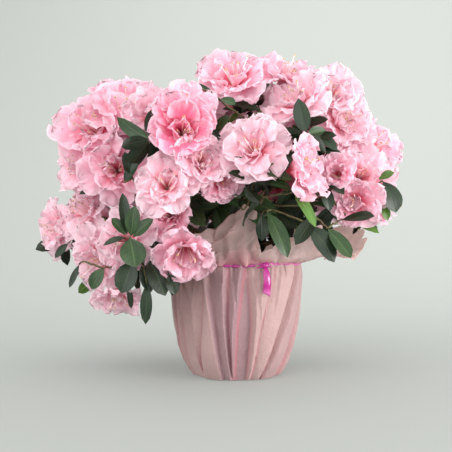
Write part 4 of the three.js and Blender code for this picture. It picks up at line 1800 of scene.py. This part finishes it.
@dataclass
class PaperWrap:
    """The tissue wrapped round the pot, in flat panels that meet along sharp creases.

    The sheet lies double between the two bearings of its overlap, at the front, where that mauve is also
    painted shade. Its sheet colour is the tissue painted in shade, darker than the same paper in the collar.
    """

    node: str = "paper_wrap"
    sides: int = 520
    rings: int = 44
    pleats: int = 29
    gathers: int = 96
    lean: float = 0.36
    play: float = 0.0012
    base: float = 0.0008
    overlap: tuple[float, float] = (240.0, 284.0)
    foot: tuple[float, ...] = (0.05, 0.2, 0.4, 0.56, 0.64)
    belly: tuple[tuple[float, float], ...] = (
        (0.0, 0.67), (0.025, 0.705), (0.11, 0.785), (0.24, 0.86), (0.45, 0.925), (0.76, 0.98), (0.87, 0.995),
        (0.95, 0.97), (1.0, 0.955),
    )
    # Painted shade: the sheet colour is the collar's tissue darkened for the crown's shade, and the fold
    # colour is the red of the valleys.
    finish: PaperFinish = PaperFinish("tissue_paper", (0.385, 0.218, 0.207), (0.4, 0.05, 0.09), 0.1)

    def build(self) -> None:
        """Builds the wrap, from the middle of its foot up to the tie."""
        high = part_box(self.node)[1]
        outer, top = high.x - self.play, high.z
        heights = np.linspace(0, 1, self.rings + 1)
        widths = np.interp(heights, [h for h, _ in self.belly], [w for _, w in self.belly])
        foot = [(outer * share, self.base) for share in self.foot]
        wall = [(outer * w, self.base + (top - 0.0014) * h) for h, w in zip(heights, widths)]
        piece = Bench.lathe("paper_wrap_tissue", foot + wall, self.sides)
        self._fold(piece, outer, top)
        Bench.close_end(piece, -1.0, 0.003, outer * 0.08)
        Bench.face_out(piece)
        Bench.modify(piece, "SOLIDIFY", thickness=0.0005, offset=-1.0)
        Bench.finish(piece, self.finish.material(), 22.0)
        report(piece, "paper", self.node)

    def creases(self, random: Random) -> list[Crease]:
        """The seeded creases, each a ridge and the valley beside it.

        Args:
            random: the source of their places.

        Returns:
            The creases.
        """
        made = []
        for number in range(self.pleats):
            middle = 2 * math.pi * (number + random.uniform(-0.36, 0.36)) / self.pleats
            lean = self.lean * random.uniform(-0.7, 2.0)
            bend = random.uniform(-0.09, 0.09)
            line = (middle - lean / 2, middle + bend, middle + lean / 2)
            side = 1 if random.random() < 0.7 else -1
            layers = random.choice([0.0, 0.1, 0.3, 0.5, 0.85])
            # Over the front overlap the layers rise, as doubled paper and as painted shade.
            within = self.overlap[0] < math.degrees(middle) < self.overlap[1]
            layers = mix(0.8, 1.0, layers) if within else 0.5 * layers
            made.append(Crease(line, random.uniform(0.001, 0.0036), 0.0, layers))
            steps = side * random.uniform((0.02, 0.03, 0.04), (0.06, 0.09, 0.13))
            valley = tuple(place + step for place, step in zip(line, steps))
            # The valley's red: paper doubled in the fold, and painted shade.
            depth, valley_red_and_shade = random.uniform(0.003, 0.007), random.uniform(0.1, 1.0) ** 2
            made.append(Crease(valley, -depth, valley_red_and_shade, layers * (0.8 if within else 0.4)))
        return made

    def _fold(self, piece: Piece, outer: float, top: float) -> None:
        """Folds the wall between its creases and crumples it slightly.

        Args:
            piece: the smooth wall, its vertices ring by ring.
            outer: its greatest radius.
            top: its height.
        """
        random = np.random.default_rng([SEED, 7])
        points, _ = mesh_arrays(piece)
        angle = np.arctan2(points[:, 1], points[:, 0])
        radius = np.hypot(points[:, 0], points[:, 1])
        share = np.clip(points[:, 2] / top, 0, 1)
        lift, fold_red_and_shade, layered_and_shaded = (np.zeros(len(points)) for _ in range(3))
        creases = self.creases(random)
        lifts, valley_red_and_shade, layers = np.array([(c.lift, c.valley_red_and_shade, c.layers) for c in creases]).T
        for start in range(0, len(points), self.sides):
            ring = slice(start, start + self.sides)
            level = float(share[ring].mean())
            bearings = np.array([crease.bearing(level) for crease in creases])
            lift[ring] = np.interp(angle[ring], bearings, lifts, period=2 * math.pi)
            away = np.mod(angle[ring, None] - bearings + math.pi, 2 * math.pi) - math.pi
            layered_and_shaded[ring] = layers[np.where(away >= 0, away, 9.0).argmin(axis=1)]
            fold_red_and_shade[ring] = (np.exp(-((away / 0.02) ** 2)) * valley_red_and_shade).max(axis=1)
        for _ in range(self.gathers):
            gather = Gather(
                bearing=random.uniform(0, 2 * math.pi), lean=random.uniform(-0.2, 0.7),
                width=random.uniform(0.016, 0.07), end=random.uniform(0.45, 0.9),
                lift=random.choice([-1, 1]) * random.uniform(0.001, 0.0042),
            )
            lift += gather.lift_at(angle, share)
        for values in (lift, fold_red_and_shade, layered_and_shaded):
            rings = values[: len(points) // self.sides * self.sides].reshape(-1, self.sides)
            for _ in range(4):
                rings[1:-1] = (rings[:-2] + 2 * rings[1:-1] + rings[2:]) / 4
        dent = noise_at(points * np.array([1.0, 1.0, 0.6]), 26.0)
        facet = np.array([noise.cell(Vector((p[0], p[1], p[2] * 0.7)) * 50.0) for p in points])
        lift += dent * 0.0014 + (facet - 0.5) * 0.0002
        held = 1 - 0.7 * smoothstep(share, 0.93, 0.965)
        held = held * mix(0.6, 1.0, smoothstep(share, 0.0, 0.25))
        wall = smoothstep(radius, outer * 0.5, outer * 0.66)
        room = np.maximum(self._pot_radius(points[:, 2]) + self.play - radius, -1.0)
        lift = np.clip(lift * held * wall, np.where(wall > 0.5, room, 0.0), outer + 2 * self.play - radius)
        swell = (radius + lift) / np.maximum(radius, 1e-6)
        put_points(piece, np.stack([points[:, 0] * swell, points[:, 1] * swell, points[:, 2]], axis=1))
        # The fold attribute carries the valleys' red and painted shade; the layer attribute carries the
        # layered paper and the front's painted shade.
        add_attributes(piece, fold=fold_red_and_shade * wall, layer=layered_and_shaded * wall)

    @staticmethod
    def _pot_radius(heights: Array) -> Array:
        """The pot's outer radius.

        Args:
            heights: the heights to read it at.

        Returns:
            The radius at each.
        """
        pot = node_points("pot")
        levels = np.unique(np.round(pot[:, 2], 4))
        wide = [np.hypot(*pot[np.abs(pot[:, 2] - level) < 0.0006, :2].T).max() for level in levels]
        return np.interp(heights, levels, wide)


@dataclass(frozen=True)
class Corner:
    """A corner of the paper that stands out above the tie.

    Its outline runs from one side to the other: each point's bearing about the axis, and the
    shares of the tip's reach and of its rise that it has.
    """

    node: str
    outline: tuple[Triple, ...]
    bow: float = 0.0

    def shares(self, angle: Array) -> tuple[Array, Array]:
        """Reads the outline.

        Args:
            angle: the bearings to read it at, in radians.

        Returns:
            The share of the tip's reach and that of its rise at each.
        """
        bearings = np.radians([bearing for bearing, _, _ in self.outline])
        turned = np.mod(angle - bearings[0], 2 * math.pi) + bearings[0]
        reach, rise = ([point[i] for point in self.outline] for i in (1, 2))
        return np.interp(turned, bearings, reach, right=0.0), np.interp(turned, bearings, rise, right=0.0)


@dataclass
class PaperCollar:
    """The loose edge of the paper above the tie, with its four corners.

    Where it hangs over the tie, `hangs` gives the bearing, the width and the drop.
    """

    sides: int = 480
    rings: int = 26
    rise: float = 0.0008
    edge: float = 0.011
    fold_step: float = 0.017
    hangs: tuple[Triple, ...] = ((-121.0, 10.0, 0.013), (-103.0, 4.0, 0.005), (-83.5, 3.5, 0.0095))
    corners: tuple[Corner, ...] = (
        Corner("paper_flap_front", (
            (-128.0, 0.0, 0.0), (-120.0, 0.6, 0.3), (-104.0, 0.8, 0.6), (-85.0, 1.0, 1.0),
            (-75.5, 1.15, 0.74), (-74.0, 0.9, 0.2), (-72.5, 0.0, 0.0),
        )),
        Corner("paper_flap_right", (
            (-66.0, 0.0, 0.0), (-54.0, 0.06, 0.7), (-38.0, 0.3, 0.95), (-22.0, 0.6, 0.45), (-9.0, 0.82, -0.2),
            (0.0, 0.95, 0.3), (7.0, 1.0, 1.0), (28.0, 0.4, 1.25), (46.0, 0.1, 1.1), (60.0, 0.0, 0.0),
        ), -0.5),
        Corner("paper_flap_back", (
            (50.0, 0.0, 0.0), (76.0, 0.6, 0.6), (92.0, 1.0, 1.0), (134.0, 0.0, 0.0),
        ), 0.2),
        Corner("paper_flap_left", (
            (138.0, 0.0, 0.0), (176.0, 1.0, 1.0), (200.0, 0.6, 0.5), (226.0, 0.0, 0.0),
        ), 0.2),
    )
    # Painted light: the sheet is the wrap's tissue made nearly white against the crown's shade. Painted
    # shade: the red fold colour and the brown-mauve layer colour.
    finish: PaperFinish = PaperFinish(
        "loose_tissue_paper", (0.98, 0.81, 0.785), (0.76, 0.2, 0.34), 0.7, (0.3, 0.15, 0.12)
    )

    def build(self) -> None:
        """Builds the collar, from the neck out to its edge."""
        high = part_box("ribbon_band")[1]
        neck, tie = float(high.x) - 0.0016, float(high.z) - 0.001
        profile = [(neck * (1 + 0.01 * ring), tie + self.rise * ring) for ring in range(self.rings + 1)]
        piece = Bench.lathe("paper_collar_tissue", profile, self.sides)
        points, _ = mesh_arrays(piece)
        angle = np.arctan2(points[:, 1], points[:, 0])
        share = np.clip((points[:, 2] - tie) / (self.rise * self.rings), 0, 1)
        put_points(piece, self._shape(angle, share, neck, tie))
        # Painted shade: mauve over the front corner, where the crown shades it, and red near the tie, fading
        # out a third of the way to the edge.
        ahead = np.clip(1 - np.abs(angle + 1.75) / 0.6, 0, 1) ** 0.5
        add_attributes(piece, fold=np.clip(0.8 - share * 2.4, 0, 1), layer=ahead * 0.42)
        Bench.face_out(piece)
        Bench.modify(piece, "SOLIDIFY", thickness=0.0004, offset=0.0)
        Bench.finish(piece, self.finish.material(), 20.0)
        report(piece, "paper", *[corner.node for corner in self.corners])

    def _shape(self, angle: Array, share: Array, neck: float, tie: float) -> Array:
        """Lays the collar from the neck to its edge.

        Args:
            angle: each point's bearing about the axis.
            share: how far out it lies, from 0 at the neck to 1 at the edge.
            neck: the radius at the tie.
            tie: the height of the tie.

        Returns:
            The points.
        """
        out = np.stack([np.cos(angle), np.sin(angle), np.zeros_like(angle)], axis=1)
        root = out * neck + UP * tie
        wave = np.sin(9 * angle + 1.0) * 0.3 + np.sin(23 * angle + 2.0) * 0.22
        edge = root + out * (self.edge * (0.55 + 0.3 * wave))[:, None]
        edge = edge + UP * (self.edge * (0.8 + 0.35 * wave))[:, None]
        middle = (root + edge) / 2 + UP * 0.002
        for corner in self.corners:
            reached, risen = corner.shares(angle)
            centre = UP * tie
            points = node_points(corner.node)
            tip = points[np.linalg.norm(points - centre, axis=1).argmax()]
            length = float(np.linalg.norm(tip - centre))
            reach = float(np.hypot(*tip[:2])) - neck - self.edge * 0.6
            rise = float(tip[2]) - tie - self.edge * 0.8
            edge = edge + out * (reach * reached)[:, None] + UP * (rise * risen)[:, None]
            near = risen[:, None]
            bowed = (root + edge) / 2 + UP * corner.bow * length * 0.25
            middle = middle * (1 - near) + bowed * near
        along = share[:, None]
        points = (1 - along) ** 2 * root + 2 * along * (1 - along) * middle + along**2 * edge
        for bearing, width, drop in self.hangs:
            over = ((np.degrees(angle) - bearing) / width) ** 2 + ((share - 0.16) / 0.11) ** 2
            points += (out - UP) * (drop * np.exp(-over))[:, None]
        stretched = np.clip(np.linalg.norm(edge - root, axis=1) / 0.05, 0, 1) * share
        across = unit_rows(out * 0.6 + UP * 0.5)
        return points + across * self._crumple(points, angle, share, stretched)[:, None]

    def _crumple(self, points: Array, angle: Array, share: Array, stretched: Array) -> Array:
        """How far the collar's gathers, creases and folds lift it.

        Args:
            points: its points.
            angle: each point's bearing about the axis.
            share: how far out it lies, from 0 at the neck to 1 at the edge.
            stretched: how much it belongs to a corner that stands out, from 0 to 1.

        Returns:
            The lift of each point in metres.
        """
        random = np.random.default_rng([SEED, 8])
        gathers = np.zeros_like(angle)
        for count, size in ((31, 0.0013), (47, 0.0009), (13, 0.0016)):
            gathers += np.sin(count * angle + random.uniform(0, 6.3) + 1.5 * share) * size
        soft = smoothstep(share, 0.0, 0.25) * (1.25 - 0.5 * share) * (1 - 0.8 * stretched)
        slanted = np.stack([points[:, 0] - points[:, 2], points[:, 1], points[:, 0] + points[:, 2]], axis=1)
        slanted = slanted * np.array([1.4, 1.0, 0.5])
        crease = np.array([abs(noise.noise(Vector(p) * 34.0)) for p in slanted])
        crease += np.array([abs(noise.noise(Vector(p) * 75.0 + Vector((3, 1, 2)))) for p in slanted]) * 0.45
        lift = gathers * soft + (crease - 0.2) * 0.017 * smoothstep(share, 0.1, 0.5)
        slope = (points[:, 0] * 0.5 - points[:, 2] * 0.86) / self.fold_step
        folds = np.abs(np.mod(slope + noise_at(points, 26.0) * 1.2, 1) - 0.5)
        return lift + (folds - 0.25) * 0.012 * stretched


@dataclass
class Ribbon:
    """The narrow ribbon round the neck, its knot and its hanging tails.

    Each roll of the knot has its tilt, its reach and its thickness, and each tail its lean, its
    reach, its width and its turn.
    """

    finish: RibbonFinish = RibbonFinish()
    rolls: tuple[Triple, ...] = (
        (0.9, 0.5, 0.0023), (-0.6, 0.46, 0.002), (0.1, 0.34, 0.0028), (0.3, 1.5, 0.0008), (-0.2, 1.3, 0.0009),
    )
    tails: tuple[tuple[float, ...], ...] = ((0.0, 1.0, 0.0075, 0.25), (0.12, 0.86, 0.005, -0.5))

    def build(self) -> None:
        """Builds the band, the knot and the tail."""
        satin = self.finish.material()
        self._build_band(satin)
        self._build_knot(satin)
        self._build_tail(satin)

    def _build_band(self, satin: Material) -> None:
        """Builds the band, which follows the paper's folds a little.

        Args:
            satin: the ribbon's material.
        """
        low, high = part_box("ribbon_band")
        rows, columns = 6, 241
        radius = float(high.x) - 0.0006
        heights = mix(float(low.z), float(high.z), np.linspace(0.2, 0.82, rows))
        swells = np.sin(np.linspace(0, math.pi, rows)) * 0.0007
        turns = np.linspace(0, 2 * math.pi, columns)
        gather = 0.0006 * np.sin(31 * turns) + 0.0004 * np.sin(47 * turns + 1)
        wave = 0.0008 * np.sin(5 * turns)
        ring = np.stack([np.cos(turns), np.sin(turns)], axis=1)
        rings = [
            np.concatenate([ring * (radius + gather + swell)[:, None], (height + wave)[:, None]], axis=1)
            for height, swell in zip(heights, swells)
        ]
        laid = sheet(np.concatenate(rings), np.linspace(0, 1, columns), np.linspace(0, 1, rows))
        band = Gathering("ribbon_band_satin", [satin])
        band.add(Patch(laid.points, laid.faces[:, ::-1], laid.chart[:, ::-1]))
        report(band.build(), "ribbon", "ribbon_band")

    def _build_knot(self, satin: Material) -> None:
        """Builds the small pulled knot from crossed rolls, the last two its short ends.

        Args:
            satin: the ribbon's material.
        """
        low, high = (np.array(corner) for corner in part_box("ribbon_knot"))
        middle, size = (low + high) / 2, high - low
        knot = Gathering("ribbon_knot_satin", [satin])
        outward = unit(np.array([middle[0], middle[1], 0.0]))
        side = np.array([-outward[1], outward[0], 0.0])
        for tilt, reach, fat in self.rolls:
            ahead = side * math.cos(tilt) + UP * math.sin(tilt)
            shares = np.linspace(-1, 1, 9)[:, None]
            path = middle + ahead * shares * reach * size[2] + outward * (0.0026 - 0.0022 * shares**2)
            radii = fat * np.sqrt(np.clip(1 - np.abs(shares[:, 0]) ** 3, 0.02, 1))
            knot.add(tube(path, radii, 10))
        report(knot.build(), "ribbon", "ribbon_knot")

    def _build_tail(self, satin: Material) -> None:
        """Builds the two short tails, which twist as they hang.

        Args:
            satin: the ribbon's material.
        """
        low, high = (np.array(corner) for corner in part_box("ribbon_tail"))
        top = np.array([(low[0] + high[0]) / 2, (low[1] + high[1]) / 2, high[2] + 0.002])
        outward = unit(np.array([top[0], top[1], 0.0]))
        side = np.array([-outward[1], outward[0], 0.0])
        tails = Gathering("ribbon_tail_satin", [satin])
        drop = high[2] - low[2]
        for lean, reach, width, turn in self.tails:
            shares = np.linspace(0, 1, 17)
            path = (
                top
                + outward * (0.0008 + 0.0036 * np.sin(shares * math.pi * 0.9))[:, None]
                + side * (lean * drop * shares)[:, None]
                - UP * (drop * reach * shares)[:, None]
            )
            rows = []
            for middle, share in zip(path, shares):
                twist = turn * (share - 0.25) * 1.4
                across = side * math.cos(twist) + outward * math.sin(twist)
                wide = width * (0.6 + 0.4 * float(smoothstep(share, 0.0, 0.25))) / 2
                cut = np.linspace(-1, 1, 5)[:, None]
                slant = np.array([0, 0, -0.0022]) * cut * float(smoothstep(share, 0.9, 1.0))
                rows.append(middle + across * wide * cut + outward * 0.0006 * (1 - cut**2) + slant)
            tails.add(sheet(np.concatenate(rows), np.linspace(0, 1, 5), shares))
        piece = tails.build()
        Bench.modify(piece, "SOLIDIFY", thickness=0.0004, offset=0.0)
        report(piece, "ribbon", "ribbon_tail")


@dataclass
class Pot:
    """The plastic pot, which the paper hides, and the peat in it."""

    plastic: GrainFinish = GrainFinish(
        "pot_plastic", (0.26, 0.075, 0.04), (0.34, 0.13, 0.08), 0.5, 140.0, (0.5, 0.75), (0.2, 0.0005)
    )
    peat: GrainFinish = GrainFinish(
        "peat_soil", (0.018, 0.01, 0.006), (0.11, 0.065, 0.04), 0.95, 700.0, (0.42, 0.7), (0.9, 0.002)
    )

    def build(self) -> None:
        """Dresses the pot and builds the peat."""
        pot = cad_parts["pot"]
        for slot in pot.material_slots:
            slot.material = self.plastic.material()
        self._build_soil()

    def _build_soil(self) -> None:
        """Builds the peat with its crumbs, heaped round the stem."""
        low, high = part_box("potting_soil")
        radius, top, foot = float(high.x), float(high.z), float(low.z)
        profile = [(radius * 0.7, foot), (radius * 0.985, top - 0.004)]
        profile += [(radius * share, top - 0.0012) for share in np.linspace(0.97, 0.04, 26)]
        piece = Bench.lathe("potting_soil_peat", profile, 128)
        Bench.close_end(piece, -1.0, foot + 0.0005, 1.0)
        Bench.close_end(piece, top - 0.003, 1.0, radius * 0.06)
        points, _ = mesh_arrays(piece)
        away = np.hypot(points[:, 0], points[:, 1])
        crumbs = np.array([noise.fractal(Vector(p) * 150.0, 0.8, 2.2, 5) for p in points])
        heap = 0.0022 * np.exp(-((away / 0.02) ** 2)) + crumbs * 0.0014
        points[:, 2] += np.where(points[:, 2] > top - 0.003, heap, 0.0)
        put_points(piece, points)
        Bench.face_out(piece)
        Bench.finish(piece, self.peat.material(), 70.0)
        report(piece, "soil", "potting_soil")


# Studio


@dataclass(frozen=True)
class Light:
    """A soft square light: where it stands, the length of its side, and where it looks."""

    name: str
    at: Triple
    size: float
    power: float
    colour: Colour
    to: Triple = (0.0, 0.0, 0.17)

    def build(self) -> None:
        """Adds the light."""
        data = bpy.data.lights.new(self.name, "AREA")
        data.size, data.energy, data.color = self.size, self.power, self.colour
        light = add_object(self.name, data)
        light.location = self.at
        aim = Vector(self.to) - Vector(self.at)
        light.rotation_euler = aim.to_track_quat("-Z", "Y").to_euler()


@dataclass(frozen=True)
class Studio:
    """The floor that sweeps up behind the plant, the soft lights and the camera."""

    floor_colour: Colour = (0.213, 0.222, 0.211)
    floor_glow: float = 0.37
    floor_front: float = -7.0
    floor_side: float = 6.4
    sweep_start: float = 0.5
    sweep_radius: float = 1.2
    sweep_top: float = 2.6
    air_colour: Colour = (0.93, 0.96, 0.94)
    air_strength: float = 1.32
    camera_at: Triple = (-0.0105, -0.8, 0.154)
    lens: float = 60.5
    sensor: float = 36.0
    lights: tuple[Light, ...] = (
        Light("key", (1.15, -0.6, 0.13), 0.8, 31.0, (1.0, 0.985, 0.975)),
        Light("front", (-1.0, -1.4, 0.8), 2.4, 36.0, (0.99, 1.0, 1.0)),
        Light("above", (0.0, -0.4, 1.5), 2.2, 5.0, (1.0, 0.99, 0.99)),
        Light("backdrop", (0.6, 0.85, 1.5), 2.0, 25.0, (1.0, 1.0, 0.99), (0.55, 2.4, 0.4)),
    )

    def build(self) -> None:
        """Builds the whole studio."""
        self._add_floor()
        for light in self.lights:
            light.build()
        world = bpy.data.worlds.new("studio_air")
        world.use_nodes = True
        air = world.node_tree.nodes["Background"].inputs
        air["Color"].default_value = (*self.air_colour, 1)
        air["Strength"].default_value = self.air_strength
        bpy.context.scene.world = world
        self._add_camera()
        bpy.context.scene.view_settings.view_transform = "Standard"

    def _add_floor(self) -> None:
        """Adds a broad floor that rises smoothly behind the plant."""
        start, radius = self.sweep_start, self.sweep_radius
        profile = [(self.floor_front, 0.0), (start, 0.0)]
        for turn in np.linspace(0, 1, 40) * math.pi / 2:
            profile.append((start + radius * math.sin(turn), radius * (1 - math.cos(turn))))
        profile.append((start + radius, self.sweep_top))
        points = [(x, y, z) for y, z in profile for x in (-self.floor_side, self.floor_side)]
        faces = [(2 * i, 2 * i + 1, 2 * i + 3, 2 * i + 2) for i in range(len(profile) - 1)]
        mesh = bpy.data.meshes.new("floor")
        mesh.from_pydata(points, [], faces)
        mesh.polygons.foreach_set("use_smooth", [True] * len(faces))
        material, brush = new_material("floor_paint", 0.85)
        shader = brush.shader.inputs
        for socket, share in (("Base Color", 1.0), ("Emission Color", 2.2)):
            shader[socket].default_value = (*(share * c for c in self.floor_colour), 1)
        shader["Emission Strength"].default_value = self.floor_glow
        mesh.materials.append(material)
        add_object("floor", mesh)

    def _add_camera(self) -> None:
        """Adds the camera, level with the plant's middle and in front of it."""
        data = bpy.data.cameras.new("camera")
        data.lens, data.sensor_width = self.lens, self.sensor
        camera = add_object("camera", data)
        camera.location = self.camera_at
        camera.rotation_euler = (math.pi / 2, 0, 0)
        bpy.context.scene.camera = camera


def main() -> None:
    """Builds the studio and then the plant from the foot up."""
    logging.basicConfig(level=logging.INFO, format="%(message)s")
    Studio().build()
    palette = Palette.mixed()
    Pot().build()
    for assembly in (PaperWrap(), PaperCollar(), Ribbon()):
        assembly.build()
    lines = Wood().build()
    crown = Canopy(palette)
    crown.place()
    crown.build(lines)
    log.info("%d blooms, %d whorls of leaves", len(crown.flowers), len(crown.tufts))


if __name__ == "__main__":
    main()
